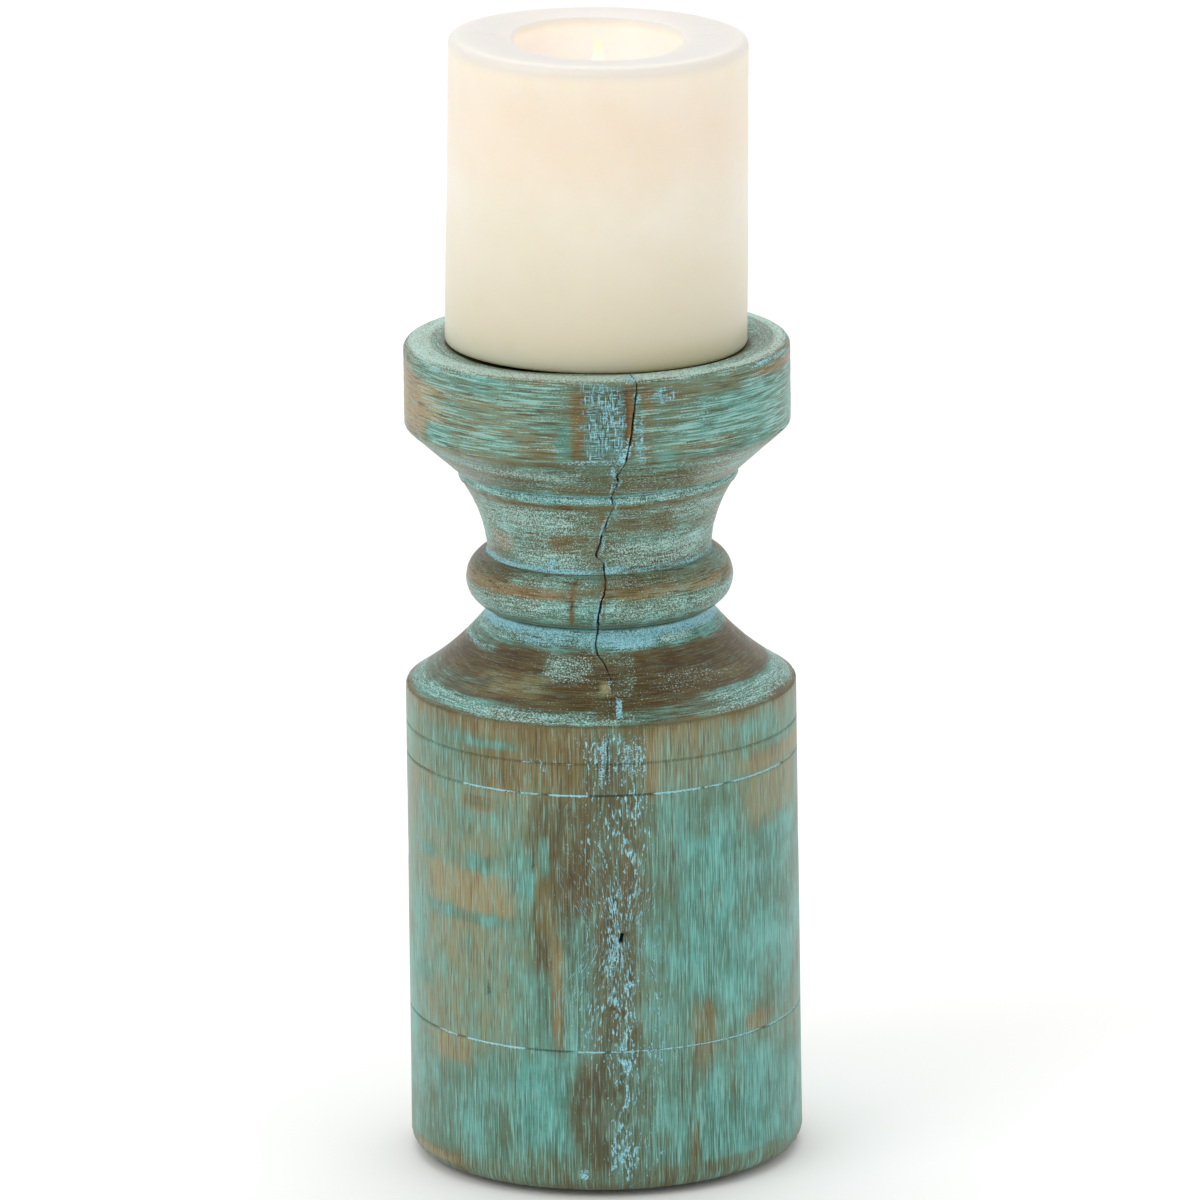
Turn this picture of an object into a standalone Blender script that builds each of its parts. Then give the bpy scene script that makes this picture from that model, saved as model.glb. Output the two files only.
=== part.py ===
"""Turned wooden candlestick with a pillar candle, modelled as separate pieces.

Metres, +Z up. The origin is on the surface that the candlestick stands on, under the
middle of its foot, and the front faces -Y. Every piece is turned about its own axis, so
most outlines are lists of (radius, height) pairs. The candle hangs from an empty that
leans a little, because the candle stands on one edge of its base in the shallow dish.
"""

from math import cos, hypot, pi, radians, sin

import bmesh
import bpy
from mathutils import Matrix

MM = 0.001
GAP = 0.3 * MM  # between neighbours that touch

# Felt pads under the foot
PAD_COUNT = 4
PAD_RADIUS = 8.0 * MM
PAD_THICKNESS = 1.2 * MM
PAD_EDGE = 0.3 * MM
PAD_CIRCLE_RADIUS = 36.0 * MM

# Turned wood: heights are measured from its own flat foot
FOOT_Z = PAD_THICKNESS + GAP
BODY_FOOT_RADIUS = 50.2 * MM
BODY_SHOULDER_RADIUS = 49.6 * MM
FOOT_ROUNDING = 3.4 * MM
SHOULDER_HEIGHT = 120.8 * MM
SHOULDER_ROUNDING = 0.9 * MM
SHOULDER_ARC_END = 54.0  # degrees, where the rounding meets the shoulder's slope
SHOULDER_HOLLOW = 1.35 * MM
SCORE_HEIGHTS = (37.0 * MM, 103.7 * MM, 111.8 * MM)
SCORE_WIDTH = 0.9 * MM
SCORE_DEPTH = 0.45 * MM
NECK_RADIUS = 28.4 * MM
NECK_HEIGHT = 140.2 * MM
RING_CENTRE_RADIUS = 26.6 * MM
RING_CENTRE_HEIGHT = 148.4 * MM
RING_SECTION_RADIUS = 7.3 * MM
RING_HALF_ANGLE = 75.0
WAIST_RADIUS = 28.4 * MM
WAIST_HEIGHT = 156.4 * MM
FLARE_TOP_RADIUS = 34.5 * MM
FLARE_TOP_HEIGHT = 173.9 * MM
FLARE_HOLLOW = 1.15 * MM
BEAD_RADIUS = 35.4 * MM
BEAD_TOP_HEIGHT = 176.9 * MM
CREASE_RADIUS = 35.0 * MM
CONE_FOOT_RADIUS = 36.2 * MM
CONE_FOOT_HEIGHT = 177.3 * MM
CUP_RADIUS = 48.8 * MM
CUP_FOOT_HEIGHT = 189.2 * MM
CUP_FOOT_ROUNDING = 1.3 * MM
CUP_FOOT_ARC_START = -47.0  # degrees, where the cone's slope meets the rounding
RIM_HEIGHT = 209.6 * MM
RIM_ROUNDING = 2.0 * MM
DISH_RADIUS = 41.4 * MM
DISH_MIDDLE_RADIUS = 38.8 * MM
DISH_MIDDLE_HEIGHT = 208.5 * MM
DISH_FLOOR_RADIUS = 37.6 * MM
DISH_FLOOR_HEIGHT = 208.0 * MM

# Sheet-metal pan let into the dish's floor, held by one countersunk screw
PAN_RADIUS = 36.0 * MM
PAN_SHEET = 0.7 * MM
PAN_BED_HEIGHT = DISH_FLOOR_HEIGHT - PAN_SHEET - GAP
DIMPLE_RADIUS = 4.6 * MM
DIMPLE_OUTER_RADIUS = 4.9 * MM
DIMPLE_COLLAR_RADIUS = 2.2 * MM
COUNTERSINK_RADIUS = 5.4 * MM
PILOT_END_LENGTH = 1.0 * MM
SCREW_SHANK_RADIUS = 1.5 * MM
SCREW_HEAD_RADIUS = 3.9 * MM
SCREW_HEAD_DROP = 0.2 * MM
SCREW_LENGTH = 16.0 * MM
SCREW_TIP_LENGTH = 3.0 * MM
SLOT_WIDTH = 0.9 * MM
SLOT_LENGTH = 4.4 * MM
SLOT_DEPTH = 1.2 * MM

# Pillar candle: heights are measured along its own axis from its flat base
CANDLE_HEIGHT = 78.4 * MM
CANDLE_FOOT_RADIUS = 38.1 * MM
CANDLE_FOOT_ROUNDING = 1.0 * MM
CANDLE_TOP_RADIUS = 37.6 * MM
CANDLE_OFFSET = -0.1 * MM  # from the cup's axis, along X
CANDLE_LEAN = 1.15  # degrees, towards +X
CROWN_RADIUS = 33.5 * MM
CROWN_ROUNDING = 2.4 * MM
CROWN_ARC_END = 80.0  # degrees
CROWN_SAG = 0.3 * MM
HOLLOW_RADIUS = 21.5 * MM
HOLLOW_LIP_DROP = 1.3 * MM
HOLLOW_WALL_SWELL = 3.2 * MM
HOLLOW_FLOOR_RADIUS = 14.0 * MM
HOLLOW_DEPTH = 27.0 * MM
HOLLOW_FLOOR_DIP = 0.6 * MM
HOLLOW_DIP_RADIUS = 7.0 * MM
HOLLOW_WICK_DIP = 0.4 * MM
WICK_RADIUS = 1.2 * MM
WICK_ABOVE_FLOOR = 9.0 * MM
WICK_TIP_SHARE = 0.6  # of the wick's radius
TAB_RADIUS = 10.0 * MM
TAB_UNDERSIDE = 0.5 * MM
TAB_SHEET = 0.5 * MM
TAB_NECK_OUTER = 2.1 * MM
TAB_NECK_INNER = 1.5 * MM
TAB_NECK_HEIGHT = 6.0 * MM

WOOD_SEGMENTS = 60
CANDLE_SEGMENTS = 48
SMALL_SEGMENTS = 24
SMOOTH_ANGLE = 35.0


def remove_everything():
    for thing in list(bpy.data.objects):
        bpy.data.objects.remove(thing, do_unlink=True)


def make_material(name, colour, roughness, metallic=0.0):
    material = bpy.data.materials.new(name)
    material.use_nodes = True
    shader = material.node_tree.nodes["Principled BSDF"]
    shader.inputs["Base Color"].default_value = (*colour, 1.0)
    shader.inputs["Roughness"].default_value = roughness
    shader.inputs["Metallic"].default_value = metallic
    return material


def arc(centre, radius, start, end, steps):
    """Points of a round stretch about centre, from start to end degrees, both included.

    Zero degrees points away from the turning axis, and 90 degrees points up.
    """
    turn = [radians(start + (end - start) * i / steps) for i in range(steps + 1)]
    return [(centre[0] + radius * cos(t), centre[1] + radius * sin(t)) for t in turn]


def bowed(start, end, sag, steps):
    """Points between start and end, bowed to the right of the way by sag at the middle.

    The end points themselves are left out.
    """
    along = (end[0] - start[0], end[1] - start[1])
    length = hypot(*along)
    across = (along[1] / length, -along[0] / length)
    points = []
    for i in range(1, steps):
        part = i / steps
        push = 4.0 * sag * part * (1.0 - part)
        points.append((
            start[0] + along[0] * part + across[0] * push,
            start[1] + along[1] * part + across[1] * push,
        ))
    return points


def turned(name, outline, material, segments, place=(0.0, 0.0, 0.0), parent=None):
    """A solid of revolution: outline is (radius, height) pairs, closed about the axis."""
    mesh = bpy.data.meshes.new(name)
    bm = bmesh.new()
    points = [bm.verts.new((radius, 0.0, height)) for radius, height in outline]
    edges = [bm.edges.new(pair) for pair in zip(points, points[1:])]
    if outline[0][0] > 0.0:
        edges.append(bm.edges.new((points[-1], points[0])))
    bmesh.ops.spin(
        bm, geom=points + edges, cent=(0, 0, 0), axis=(0, 0, 1), angle=2.0 * pi,
        steps=segments, use_merge=True,
    )
    bmesh.ops.remove_doubles(bm, verts=bm.verts, dist=0.01 * MM)
    bmesh.ops.recalc_face_normals(bm, faces=bm.faces)
    bm.to_mesh(mesh)
    bm.free()
    mesh.shade_smooth()
    mesh.set_sharp_from_angle(angle=radians(SMOOTH_ANGLE))
    mesh.materials.append(material)
    piece = bpy.data.objects.new(name, mesh)
    piece.location = place
    piece.parent = parent
    bpy.context.scene.collection.objects.link(piece)
    return piece


def body_radius(height):
    """The body's wall narrows evenly from the foot to the shoulder."""
    share = height / SHOULDER_HEIGHT
    return BODY_FOOT_RADIUS + (BODY_SHOULDER_RADIUS - BODY_FOOT_RADIUS) * share


def score(height):
    """A fine V cut into the body's wall."""
    half = SCORE_WIDTH / 2.0
    return [
        (body_radius(height - half), height - half),
        (body_radius(height) - SCORE_DEPTH, height),
        (body_radius(height + half), height + half),
    ]


def dish_outline():
    """The dish's slope, the pan's bed, the countersink and the pilot hole, inwards."""
    bed = PAN_BED_HEIGHT
    bed_radius = PAN_RADIUS + GAP
    pilot = SCREW_SHANK_RADIUS + GAP
    bottom = bed - SCREW_LENGTH - GAP
    return [
        (DISH_RADIUS, RIM_HEIGHT),
        (DISH_MIDDLE_RADIUS, DISH_MIDDLE_HEIGHT),
        (DISH_FLOOR_RADIUS, DISH_FLOOR_HEIGHT),
        (bed_radius, DISH_FLOOR_HEIGHT),
        (bed_radius, bed),
        (COUNTERSINK_RADIUS, bed),
        (pilot, bed - (COUNTERSINK_RADIUS - pilot)),
        (pilot, bottom),
        (0.0, bottom - PILOT_END_LENGTH),
    ]


def stand_outline():
    """Foot, body, shoulder, neck, ring, flare, cup and dish, from the foot upwards."""
    wall = BODY_FOOT_RADIUS - FOOT_ROUNDING
    shoulder = (BODY_SHOULDER_RADIUS - SHOULDER_ROUNDING, SHOULDER_HEIGHT)
    neck = (NECK_RADIUS, NECK_HEIGHT)
    waist = (WAIST_RADIUS, WAIST_HEIGHT)
    flare_top = (FLARE_TOP_RADIUS, FLARE_TOP_HEIGHT)
    bead_middle = (FLARE_TOP_HEIGHT + BEAD_TOP_HEIGHT) / 2.0
    cup_foot = (CUP_RADIUS - CUP_FOOT_ROUNDING, CUP_FOOT_HEIGHT)
    rim = (CUP_RADIUS - RIM_ROUNDING, RIM_HEIGHT - RIM_ROUNDING)
    ring_centre = (RING_CENTRE_RADIUS, RING_CENTRE_HEIGHT)

    outline = [(0.0, 0.0)]
    outline += arc((wall, FOOT_ROUNDING), FOOT_ROUNDING, -90, 0, 3)
    for height in SCORE_HEIGHTS:
        outline += score(height)
    outline += arc(shoulder, SHOULDER_ROUNDING, 0, SHOULDER_ARC_END, 2)
    outline += bowed(outline[-1], neck, -SHOULDER_HOLLOW, 5)
    outline.append(neck)
    outline += arc(ring_centre, RING_SECTION_RADIUS, -RING_HALF_ANGLE, RING_HALF_ANGLE, 9)
    outline.append(waist)
    outline += bowed(waist, flare_top, -FLARE_HOLLOW, 4)
    outline.append(flare_top)
    outline += [(BEAD_RADIUS, bead_middle), (CREASE_RADIUS, BEAD_TOP_HEIGHT)]
    outline.append((CONE_FOOT_RADIUS, CONE_FOOT_HEIGHT))
    outline += arc(cup_foot, CUP_FOOT_ROUNDING, CUP_FOOT_ARC_START, 0, 2)
    outline += arc(rim, RIM_ROUNDING, 0, 90, 3)
    outline += dish_outline()
    return outline


def make_stand(wood):
    outline = stand_outline()
    return turned("turned_wood_stand", outline, wood, WOOD_SEGMENTS, (0, 0, FOOT_Z))


def make_pan(steel):
    """A flat disc let into the dish's floor, dimpled in the middle for the screw's head."""
    under = GAP
    top = under + PAN_SHEET
    hole = SCREW_SHANK_RADIUS + GAP
    collar_under = under - (DIMPLE_OUTER_RADIUS - DIMPLE_COLLAR_RADIUS)
    outline = [
        (hole, top - (DIMPLE_RADIUS - hole)),
        (DIMPLE_RADIUS, top),
        (PAN_RADIUS, top),
        (PAN_RADIUS, under),
        (DIMPLE_OUTER_RADIUS, under),
        (DIMPLE_COLLAR_RADIUS, collar_under),
        (hole, collar_under),
    ]
    bed = FOOT_Z + PAN_BED_HEIGHT
    return turned("drip_pan", outline, steel, CANDLE_SEGMENTS, (0, 0, bed))


def cut_slot(piece, name, top, turn):
    """Cuts one arm of the cross recess into the screw's head."""
    mesh = bpy.data.meshes.new(name)
    bm = bmesh.new()
    bmesh.ops.create_cube(bm, size=1.0)
    size = Matrix.Diagonal((SLOT_LENGTH, SLOT_WIDTH, 2.0 * SLOT_DEPTH, 1.0))
    bmesh.ops.transform(bm, matrix=Matrix.Rotation(radians(turn), 4, "Z") @ size, verts=bm.verts)
    bm.to_mesh(mesh)
    bm.free()
    cutter = bpy.data.objects.new(name, mesh)
    cutter.location = (0, 0, top)
    cutter.hide_render = True
    cutter.display_type = "WIRE"
    bpy.context.scene.collection.objects.link(cutter)
    cut = piece.modifiers.new(name, "BOOLEAN")
    cut.operation = "DIFFERENCE"
    cut.object = cutter


def make_screw(steel):
    head_top = GAP + PAN_SHEET - SCREW_HEAD_DROP
    head_depth = SCREW_HEAD_RADIUS - SCREW_SHANK_RADIUS
    end = head_top - SCREW_LENGTH
    outline = [
        (0.0, end),
        (SCREW_SHANK_RADIUS, end + SCREW_TIP_LENGTH),
        (SCREW_SHANK_RADIUS, head_top - head_depth),
        (SCREW_HEAD_RADIUS, head_top),
        (0.0, head_top),
    ]
    bed = FOOT_Z + PAN_BED_HEIGHT
    screw = turned("pan_screw", outline, steel, SMALL_SEGMENTS, (0, 0, bed))
    cut_slot(screw, "slot_cutter_1", bed + head_top, 0)
    cut_slot(screw, "slot_cutter_2", bed + head_top, 90)
    return screw


def make_pads(felt):
    outline = [
        (0.0, 0.0),
        (PAD_RADIUS, 0.0),
        (PAD_RADIUS, PAD_THICKNESS - PAD_EDGE),
        (PAD_RADIUS - PAD_EDGE, PAD_THICKNESS),
        (0.0, PAD_THICKNESS),
    ]
    for i in range(PAD_COUNT):
        turn = 2.0 * pi * (i + 0.5) / PAD_COUNT
        place = (PAD_CIRCLE_RADIUS * cos(turn), PAD_CIRCLE_RADIUS * sin(turn), 0)
        turned(f"felt_pad_{i + 1}", outline, felt, SMALL_SEGMENTS, place)


def make_candle_axis():
    """The empty that the candle's pieces hang from, at the middle of the candle's base.

    The base's lowest edge stands just clear of the dish's floor.
    """
    axis = bpy.data.objects.new("candle_axis", None)
    standing_edge = CANDLE_FOOT_RADIUS - CANDLE_FOOT_ROUNDING
    rise = standing_edge * sin(radians(CANDLE_LEAN))
    seat = FOOT_Z + DISH_FLOOR_HEIGHT + GAP + rise
    axis.location = (CANDLE_OFFSET, 0, seat)
    axis.rotation_euler = (0, radians(CANDLE_LEAN), 0)
    bpy.context.scene.collection.objects.link(axis)
    return axis


def wax_outline():
    """The base, the outer wall, the crown, the melted hollow and the wick's channel."""
    crown = CANDLE_HEIGHT
    foot = (CANDLE_FOOT_RADIUS - CANDLE_FOOT_ROUNDING, CANDLE_FOOT_ROUNDING)
    corner = (CANDLE_TOP_RADIUS - CROWN_ROUNDING, crown - CROWN_ROUNDING)
    lip = (HOLLOW_RADIUS, crown - HOLLOW_LIP_DROP)
    floor = (HOLLOW_FLOOR_RADIUS, crown - HOLLOW_DEPTH)
    channel = WICK_RADIUS + GAP
    neck_pocket = TAB_NECK_OUTER + GAP
    tab_pocket = TAB_RADIUS + GAP
    tab_top = TAB_UNDERSIDE + TAB_SHEET + GAP
    neck_top = TAB_UNDERSIDE + TAB_NECK_HEIGHT + GAP
    outline = [
        (channel, neck_top),
        (neck_pocket, neck_top),
        (neck_pocket, tab_top),
        (tab_pocket, tab_top),
        (tab_pocket, 0.0),
    ]
    outline += arc(foot, CANDLE_FOOT_ROUNDING, -90, 0, 3)
    outline += arc(corner, CROWN_ROUNDING, 0, CROWN_ARC_END, 3)
    outline.append((CROWN_RADIUS, crown))
    outline += bowed((CROWN_RADIUS, crown), lip, CROWN_SAG, 3)
    outline.append(lip)
    outline += bowed(lip, floor, -HOLLOW_WALL_SWELL, 5)
    outline.append(floor)
    outline.append((HOLLOW_DIP_RADIUS, floor[1] - HOLLOW_FLOOR_DIP))
    outline.append((channel, floor[1] - HOLLOW_WICK_DIP))
    return outline


def make_wax(wax, axis):
    return turned("pillar_wax", wax_outline(), wax, CANDLE_SEGMENTS, parent=axis)


def make_wick(cotton, axis):
    bottom = TAB_UNDERSIDE + GAP
    top = CANDLE_HEIGHT - HOLLOW_DEPTH + WICK_ABOVE_FLOOR
    outline = [
        (0.0, bottom),
        (WICK_RADIUS, bottom),
        (WICK_RADIUS, top - WICK_RADIUS),
        (WICK_TIP_SHARE * WICK_RADIUS, top),
        (0.0, top),
    ]
    return turned("wick", outline, cotton, SMALL_SEGMENTS // 2, parent=axis)


def make_tab(tin, axis):
    """The thin disc under the wick, with the short tube that grips it."""
    under = TAB_UNDERSIDE
    outline = [
        (TAB_NECK_INNER, under),
        (TAB_RADIUS, under),
        (TAB_RADIUS, under + TAB_SHEET),
        (TAB_NECK_OUTER, under + TAB_SHEET),
        (TAB_NECK_OUTER, under + TAB_NECK_HEIGHT),
        (TAB_NECK_INNER, under + TAB_NECK_HEIGHT),
    ]
    return turned("wick_tab", outline, tin, SMALL_SEGMENTS, parent=axis)


def build():
    remove_everything()
    wood = make_material("painted_wood", (0.20, 0.36, 0.31), 0.6)
    steel = make_material("blackened_steel", (0.05, 0.05, 0.05), 0.45, 1.0)
    zinc = make_material("zinc_screw", (0.60, 0.58, 0.52), 0.35, 1.0)
    felt = make_material("brown_felt", (0.09, 0.06, 0.04), 0.95)
    wax = make_material("ivory_wax", (0.86, 0.80, 0.62), 0.45)
    cotton = make_material("charred_cotton", (0.06, 0.05, 0.04), 0.9)
    tin = make_material("tin_plate", (0.70, 0.70, 0.68), 0.3, 1.0)
    make_stand(wood)
    make_pan(steel)
    make_screw(zinc)
    make_pads(felt)
    axis = make_candle_axis()
    make_wax(wax, axis)
    make_wick(cotton, axis)
    make_tab(tin, axis)


build()
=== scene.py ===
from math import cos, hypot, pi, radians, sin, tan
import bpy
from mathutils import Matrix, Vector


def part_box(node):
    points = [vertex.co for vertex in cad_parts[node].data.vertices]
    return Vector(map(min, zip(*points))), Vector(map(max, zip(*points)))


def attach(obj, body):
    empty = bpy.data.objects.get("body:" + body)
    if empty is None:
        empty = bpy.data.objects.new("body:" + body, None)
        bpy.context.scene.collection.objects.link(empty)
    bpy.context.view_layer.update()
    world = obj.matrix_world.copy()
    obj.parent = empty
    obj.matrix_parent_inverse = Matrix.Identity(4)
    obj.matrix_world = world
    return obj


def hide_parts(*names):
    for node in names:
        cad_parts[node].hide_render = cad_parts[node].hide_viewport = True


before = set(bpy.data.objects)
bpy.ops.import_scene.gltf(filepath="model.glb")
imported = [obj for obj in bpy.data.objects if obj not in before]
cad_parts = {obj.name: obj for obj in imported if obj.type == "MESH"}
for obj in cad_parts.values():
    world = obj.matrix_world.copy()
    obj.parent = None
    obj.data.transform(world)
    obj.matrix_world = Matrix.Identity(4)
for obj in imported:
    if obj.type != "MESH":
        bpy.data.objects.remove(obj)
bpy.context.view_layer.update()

# Looks of a turned wooden candlestick with a lit pillar candle.
# Lengths inside the makers are millimetres and angles are degrees; 0 degrees is the
# front, towards -Y, and positive angles go round to the right. "along" is the distance
# walked up the turned outline from the edge of the flat foot.

from types import SimpleNamespace

import bpy
import numpy as np
from mathutils import Matrix, Vector, noise

MM = 0.001

# ------------------------ places from the frame

FOOT_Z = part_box("turned_wood_stand")[0].z / MM
CANDLE_LOWEST_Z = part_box("pillar_wax")[0].z / MM
CANDLE_X = -0.1
CANDLE_LEAN = 1.15
CANDLE_STANDING_RADIUS = 37.1
CANDLE_MIDDLE_Z = CANDLE_LOWEST_Z + CANDLE_STANDING_RADIUS * sin(radians(CANDLE_LEAN))
LARGEST_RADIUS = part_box("turned_wood_stand")[1].x / MM

# ------------------------ outline of the wood

FOOT_RADIUS, FOOT_ROUNDING = 50.2, 3.4
SHOULDER_RADIUS, SHOULDER_HEIGHT, SHOULDER_ROUNDING = 49.6, 120.8, 0.9
SCORES = (37.0, 103.7, 111.8)
SCORE_HALF_WIDTH, SCORE_DEPTH, SCORE_MARGIN = 0.45, 0.45, 0.3
# (across, deep) of a score, in half widths and depths
SCORE_SHAPE = ((-1.0, 0.0), (-0.7, 0.22), (-0.3, 0.8), (0.0, 1.0), (0.3, 0.8), (0.7, 0.22), (1.0, 0.0))
NECK = (28.4, 140.2)
RING_CENTRE, RING_SECTION = (26.6, 148.4), 7.3
WAIST = (28.4, 156.4)
FLARE_TOP = (34.5, 173.9)
BEAD_TOP = (35.0, 176.9)
BEAD_BULGE = 0.75
CONE_FOOT = (36.2, 177.3)
CUP_RADIUS, CUP_FOOT, CUP_ROUNDING = 48.8, 189.2, 1.3
RIM_HEIGHT, RIM_ROUNDING = 209.6, 2.0
DISH_EDGE, DISH_MIDDLE, DISH_FLOOR = (41.4, 209.6), (38.8, 208.5), (37.6, 208.0)
DISH_CLEARANCE, DISH_GAP, DISH_GAP_ANGLES = 0.22, 0.55, (-66.0, -22.0)
PAN_BED_RADIUS, PAN_BED_HEIGHT = 36.3, 207.0
COUNTERSINK, PILOT_RADIUS, PILOT_DEPTH = 5.4, 1.8, 16.3


def line(start, end, steps):
    """Points from start to end, without start."""
    share = [i / steps for i in range(1, steps + 1)]
    return [tuple(a + (b - a) * t for a, b in zip(start, end)) for t in share]


def arc(centre, radius, start, end, steps):
    """Points of a round stretch about centre, from start to end degrees, both included."""
    turn = [radians(start + (end - start) * i / steps) for i in range(steps + 1)]
    return [(centre[0] + radius * cos(t), centre[1] + radius * sin(t)) for t in turn]


def bowed(start, end, sag, steps):
    """Points from start to end, without start, bowed to the right of the way by sag."""
    dr, dz = end[0] - start[0], end[1] - start[1]
    length = hypot(dr, dz)
    points = []
    for i in range(1, steps + 1):
        t = i / steps
        push = 4.0 * sag * t * (1.0 - t)
        points.append((start[0] + dr * t + dz / length * push,
                       start[1] + dz * t - dr / length * push))
    return points


def wall_radius(height):
    """The body narrows evenly from the foot to the shoulder."""
    return FOOT_RADIUS + (SHOULDER_RADIUS - FOOT_RADIUS) * height / SHOULDER_HEIGHT


def wall(start, end, spacing):
    """The body's wall between two heights."""
    low, high = (wall_radius(start), start), (wall_radius(end), end)
    return line(low, high, max(1, round((end - start) / spacing)))


def score(height):
    """A fine V cut into the wall, with its edges a little worn."""
    points = []
    for across, deep in SCORE_SHAPE:
        at = height + across * SCORE_HALF_WIDTH
        points.append((wall_radius(at) - deep * SCORE_DEPTH, at))
    return points


def stand_outline():
    """(radius, height) from the middle of the foot, up the outside and into the dish."""
    foot_edge = (FOOT_RADIUS - FOOT_ROUNDING, 0.0)
    points = [(0.0, 0.0)] + line((0.0, 0.0), foot_edge, 6)[:-1]
    points += arc((foot_edge[0], FOOT_ROUNDING), FOOT_ROUNDING, -90, 0, 9)
    last = FOOT_ROUNDING
    for height in SCORES:
        points += wall(last, height - SCORE_HALF_WIDTH - SCORE_MARGIN, 1.05)
        points += score(height)
        last = height + SCORE_HALF_WIDTH + SCORE_MARGIN
        points.append((wall_radius(last), last))
    points += wall(last, SHOULDER_HEIGHT - 0.4, 1.0)
    shoulder = (SHOULDER_RADIUS - SHOULDER_ROUNDING, SHOULDER_HEIGHT)
    points += arc(shoulder, SHOULDER_ROUNDING, 0, 54, 5)
    points += bowed(points[-1], NECK, -1.35, 30)
    points += arc(RING_CENTRE, RING_SECTION, -75, 75, 26)
    points += line(points[-1], WAIST, 2)
    points += bowed(WAIST, FLARE_TOP, -1.15, 22)
    points += bowed(FLARE_TOP, BEAD_TOP, BEAD_BULGE, 6)
    points += line(BEAD_TOP, CONE_FOOT, 3)
    cup_foot = (CUP_RADIUS - CUP_ROUNDING, CUP_FOOT)
    corner = arc(cup_foot, CUP_ROUNDING, -47, 0, 4)
    points += line(CONE_FOOT, corner[0], 20)[:-1] + corner
    rim = arc((CUP_RADIUS - RIM_ROUNDING, RIM_HEIGHT - RIM_ROUNDING), RIM_ROUNDING, 0, 90, 7)
    points += line(corner[-1], rim[0], 20)[:-1] + rim
    points += line(rim[-1], DISH_EDGE, 14) + line(DISH_EDGE, DISH_MIDDLE, 7)
    points += line(DISH_MIDDLE, DISH_FLOOR, 3)
    bed_edge = (PAN_BED_RADIUS, DISH_FLOOR[1])
    bed = (PAN_BED_RADIUS, PAN_BED_HEIGHT)
    points += line(DISH_FLOOR, bed_edge, 2) + line(bed_edge, bed, 2)
    points += line(bed, (COUNTERSINK, PAN_BED_HEIGHT), 6)
    pilot_top = PAN_BED_HEIGHT - (COUNTERSINK - PILOT_RADIUS)
    points += [(PILOT_RADIUS, pilot_top), (PILOT_RADIUS, PAN_BED_HEIGHT - PILOT_DEPTH)]
    points.append((0.0, PAN_BED_HEIGHT - PILOT_DEPTH - 1.0))
    return np.array(points)


# ------------------------ the crack in the wood

# (along, angle) down the split, from the recess to where it fades in the body's burl
CRACK = (
    (248, 11.4), (238, 11.4), (234, 11.7), (228, 10.8), (221, 9.8), (217, 8.6), (213, 7.6), (209, 6.0),
    (205, 6.6), (201, 6.0), (198, 5.1), (193, 6.0), (189, 3.8), (185, 1.8), (181, 0.0), (178, -1.8),
    (176, 2.0), (172, 2.6), (168, 2.4), (165, 0.8), (162, -0.7), (158, -1.0), (153, -1.5), (150, -2.6),
    (147, -1.6), (145, 0.8), (142, 3.0), (139, 4.1), (136, 3.9), (132, 3.1), (127, 2.3), (120, 1.8),
    (112, 1.2), (100, 3.0), (80, 5.0), (69, 4.9), (50, 6.8), (30, 5.8), (0, 6.4),
)
# (along, depth, half width, how broken) of the split
CRACK_SIZE = (
    (246, 1.0, 0.14, 0.0), (238, 1.5, 0.2, 0.0), (234, 1.7, 0.22, 0.0), (226, 1.8, 0.22, 0.1),
    (216, 1.6, 0.24, 0.3), (212, 1.0, 0.22, 0.6), (205, 1.6, 0.3, 0.3), (198, 0.9, 0.2, 0.5),
    (192, 0.5, 0.16, 0.8), (186, 0.8, 0.26, 0.5), (179, 0.8, 0.28, 0.5), (176, 0.6, 0.22, 0.5),
    (172, 1.4, 0.26, 0.3), (167, 0.8, 0.22, 0.5), (162, 1.8, 0.28, 0.2), (155, 1.6, 0.3, 0.3),
    (150, 1.1, 0.24, 0.6), (145, 1.0, 0.22, 0.5), (140, 0.8, 0.22, 0.6), (134, 0.5, 0.2, 0.9),
    (129, 0.3, 0.18, 1.0), (124, 0.2, 0.16, 1.0), (120, 0.6, 0.18, 0.6), (114, 0.5, 0.18, 0.7),
    (110, 0.1, 0.16, 1.0), (0, 0.0, 0.16, 1.0),
)
CRACK_SWAY = 40.0  # the columns of the mesh follow the crack within this many degrees
# degrees between columns: next to the crack, its growth, and its most in front and behind
FIRST_STEP, STEP_GROWTH, FRONT_STEP, BACK_STEP, FRONT_END = 0.12, 1.12, 1.2, 2.0, 95.0
FAN_REACH, FAN_LEAST, FAN_MOST = 30.0, 0.75, 1.7
KNOT = (4.9, 69.0, 0.55, 1.15)  # angle, along, half width, half height
KNOT_DEPTH = 2.2


def follow(table, along, column=1):
    """Reads a table of (along, value, ...) rows between its rows."""
    rows = sorted(table)
    return np.interp(along, [row[0] for row in rows], [row[column] for row in rows])


def column_angles():
    """Angles round the wood from the crack: very close together near it, then wider."""
    angles, step = [0.0], FIRST_STEP
    while angles[-1] < 180.0:
        angles.append(angles[-1] + step)
        step = min(step * STEP_GROWTH, FRONT_STEP if angles[-1] < FRONT_END else BACK_STEP)
    side = np.array(angles[:-1])
    side = side[side < 180.0 - 0.4 * BACK_STEP]
    return np.concatenate([-side[:0:-1], side, [180.0]])


# ------------------------ painted and worn areas

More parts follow.
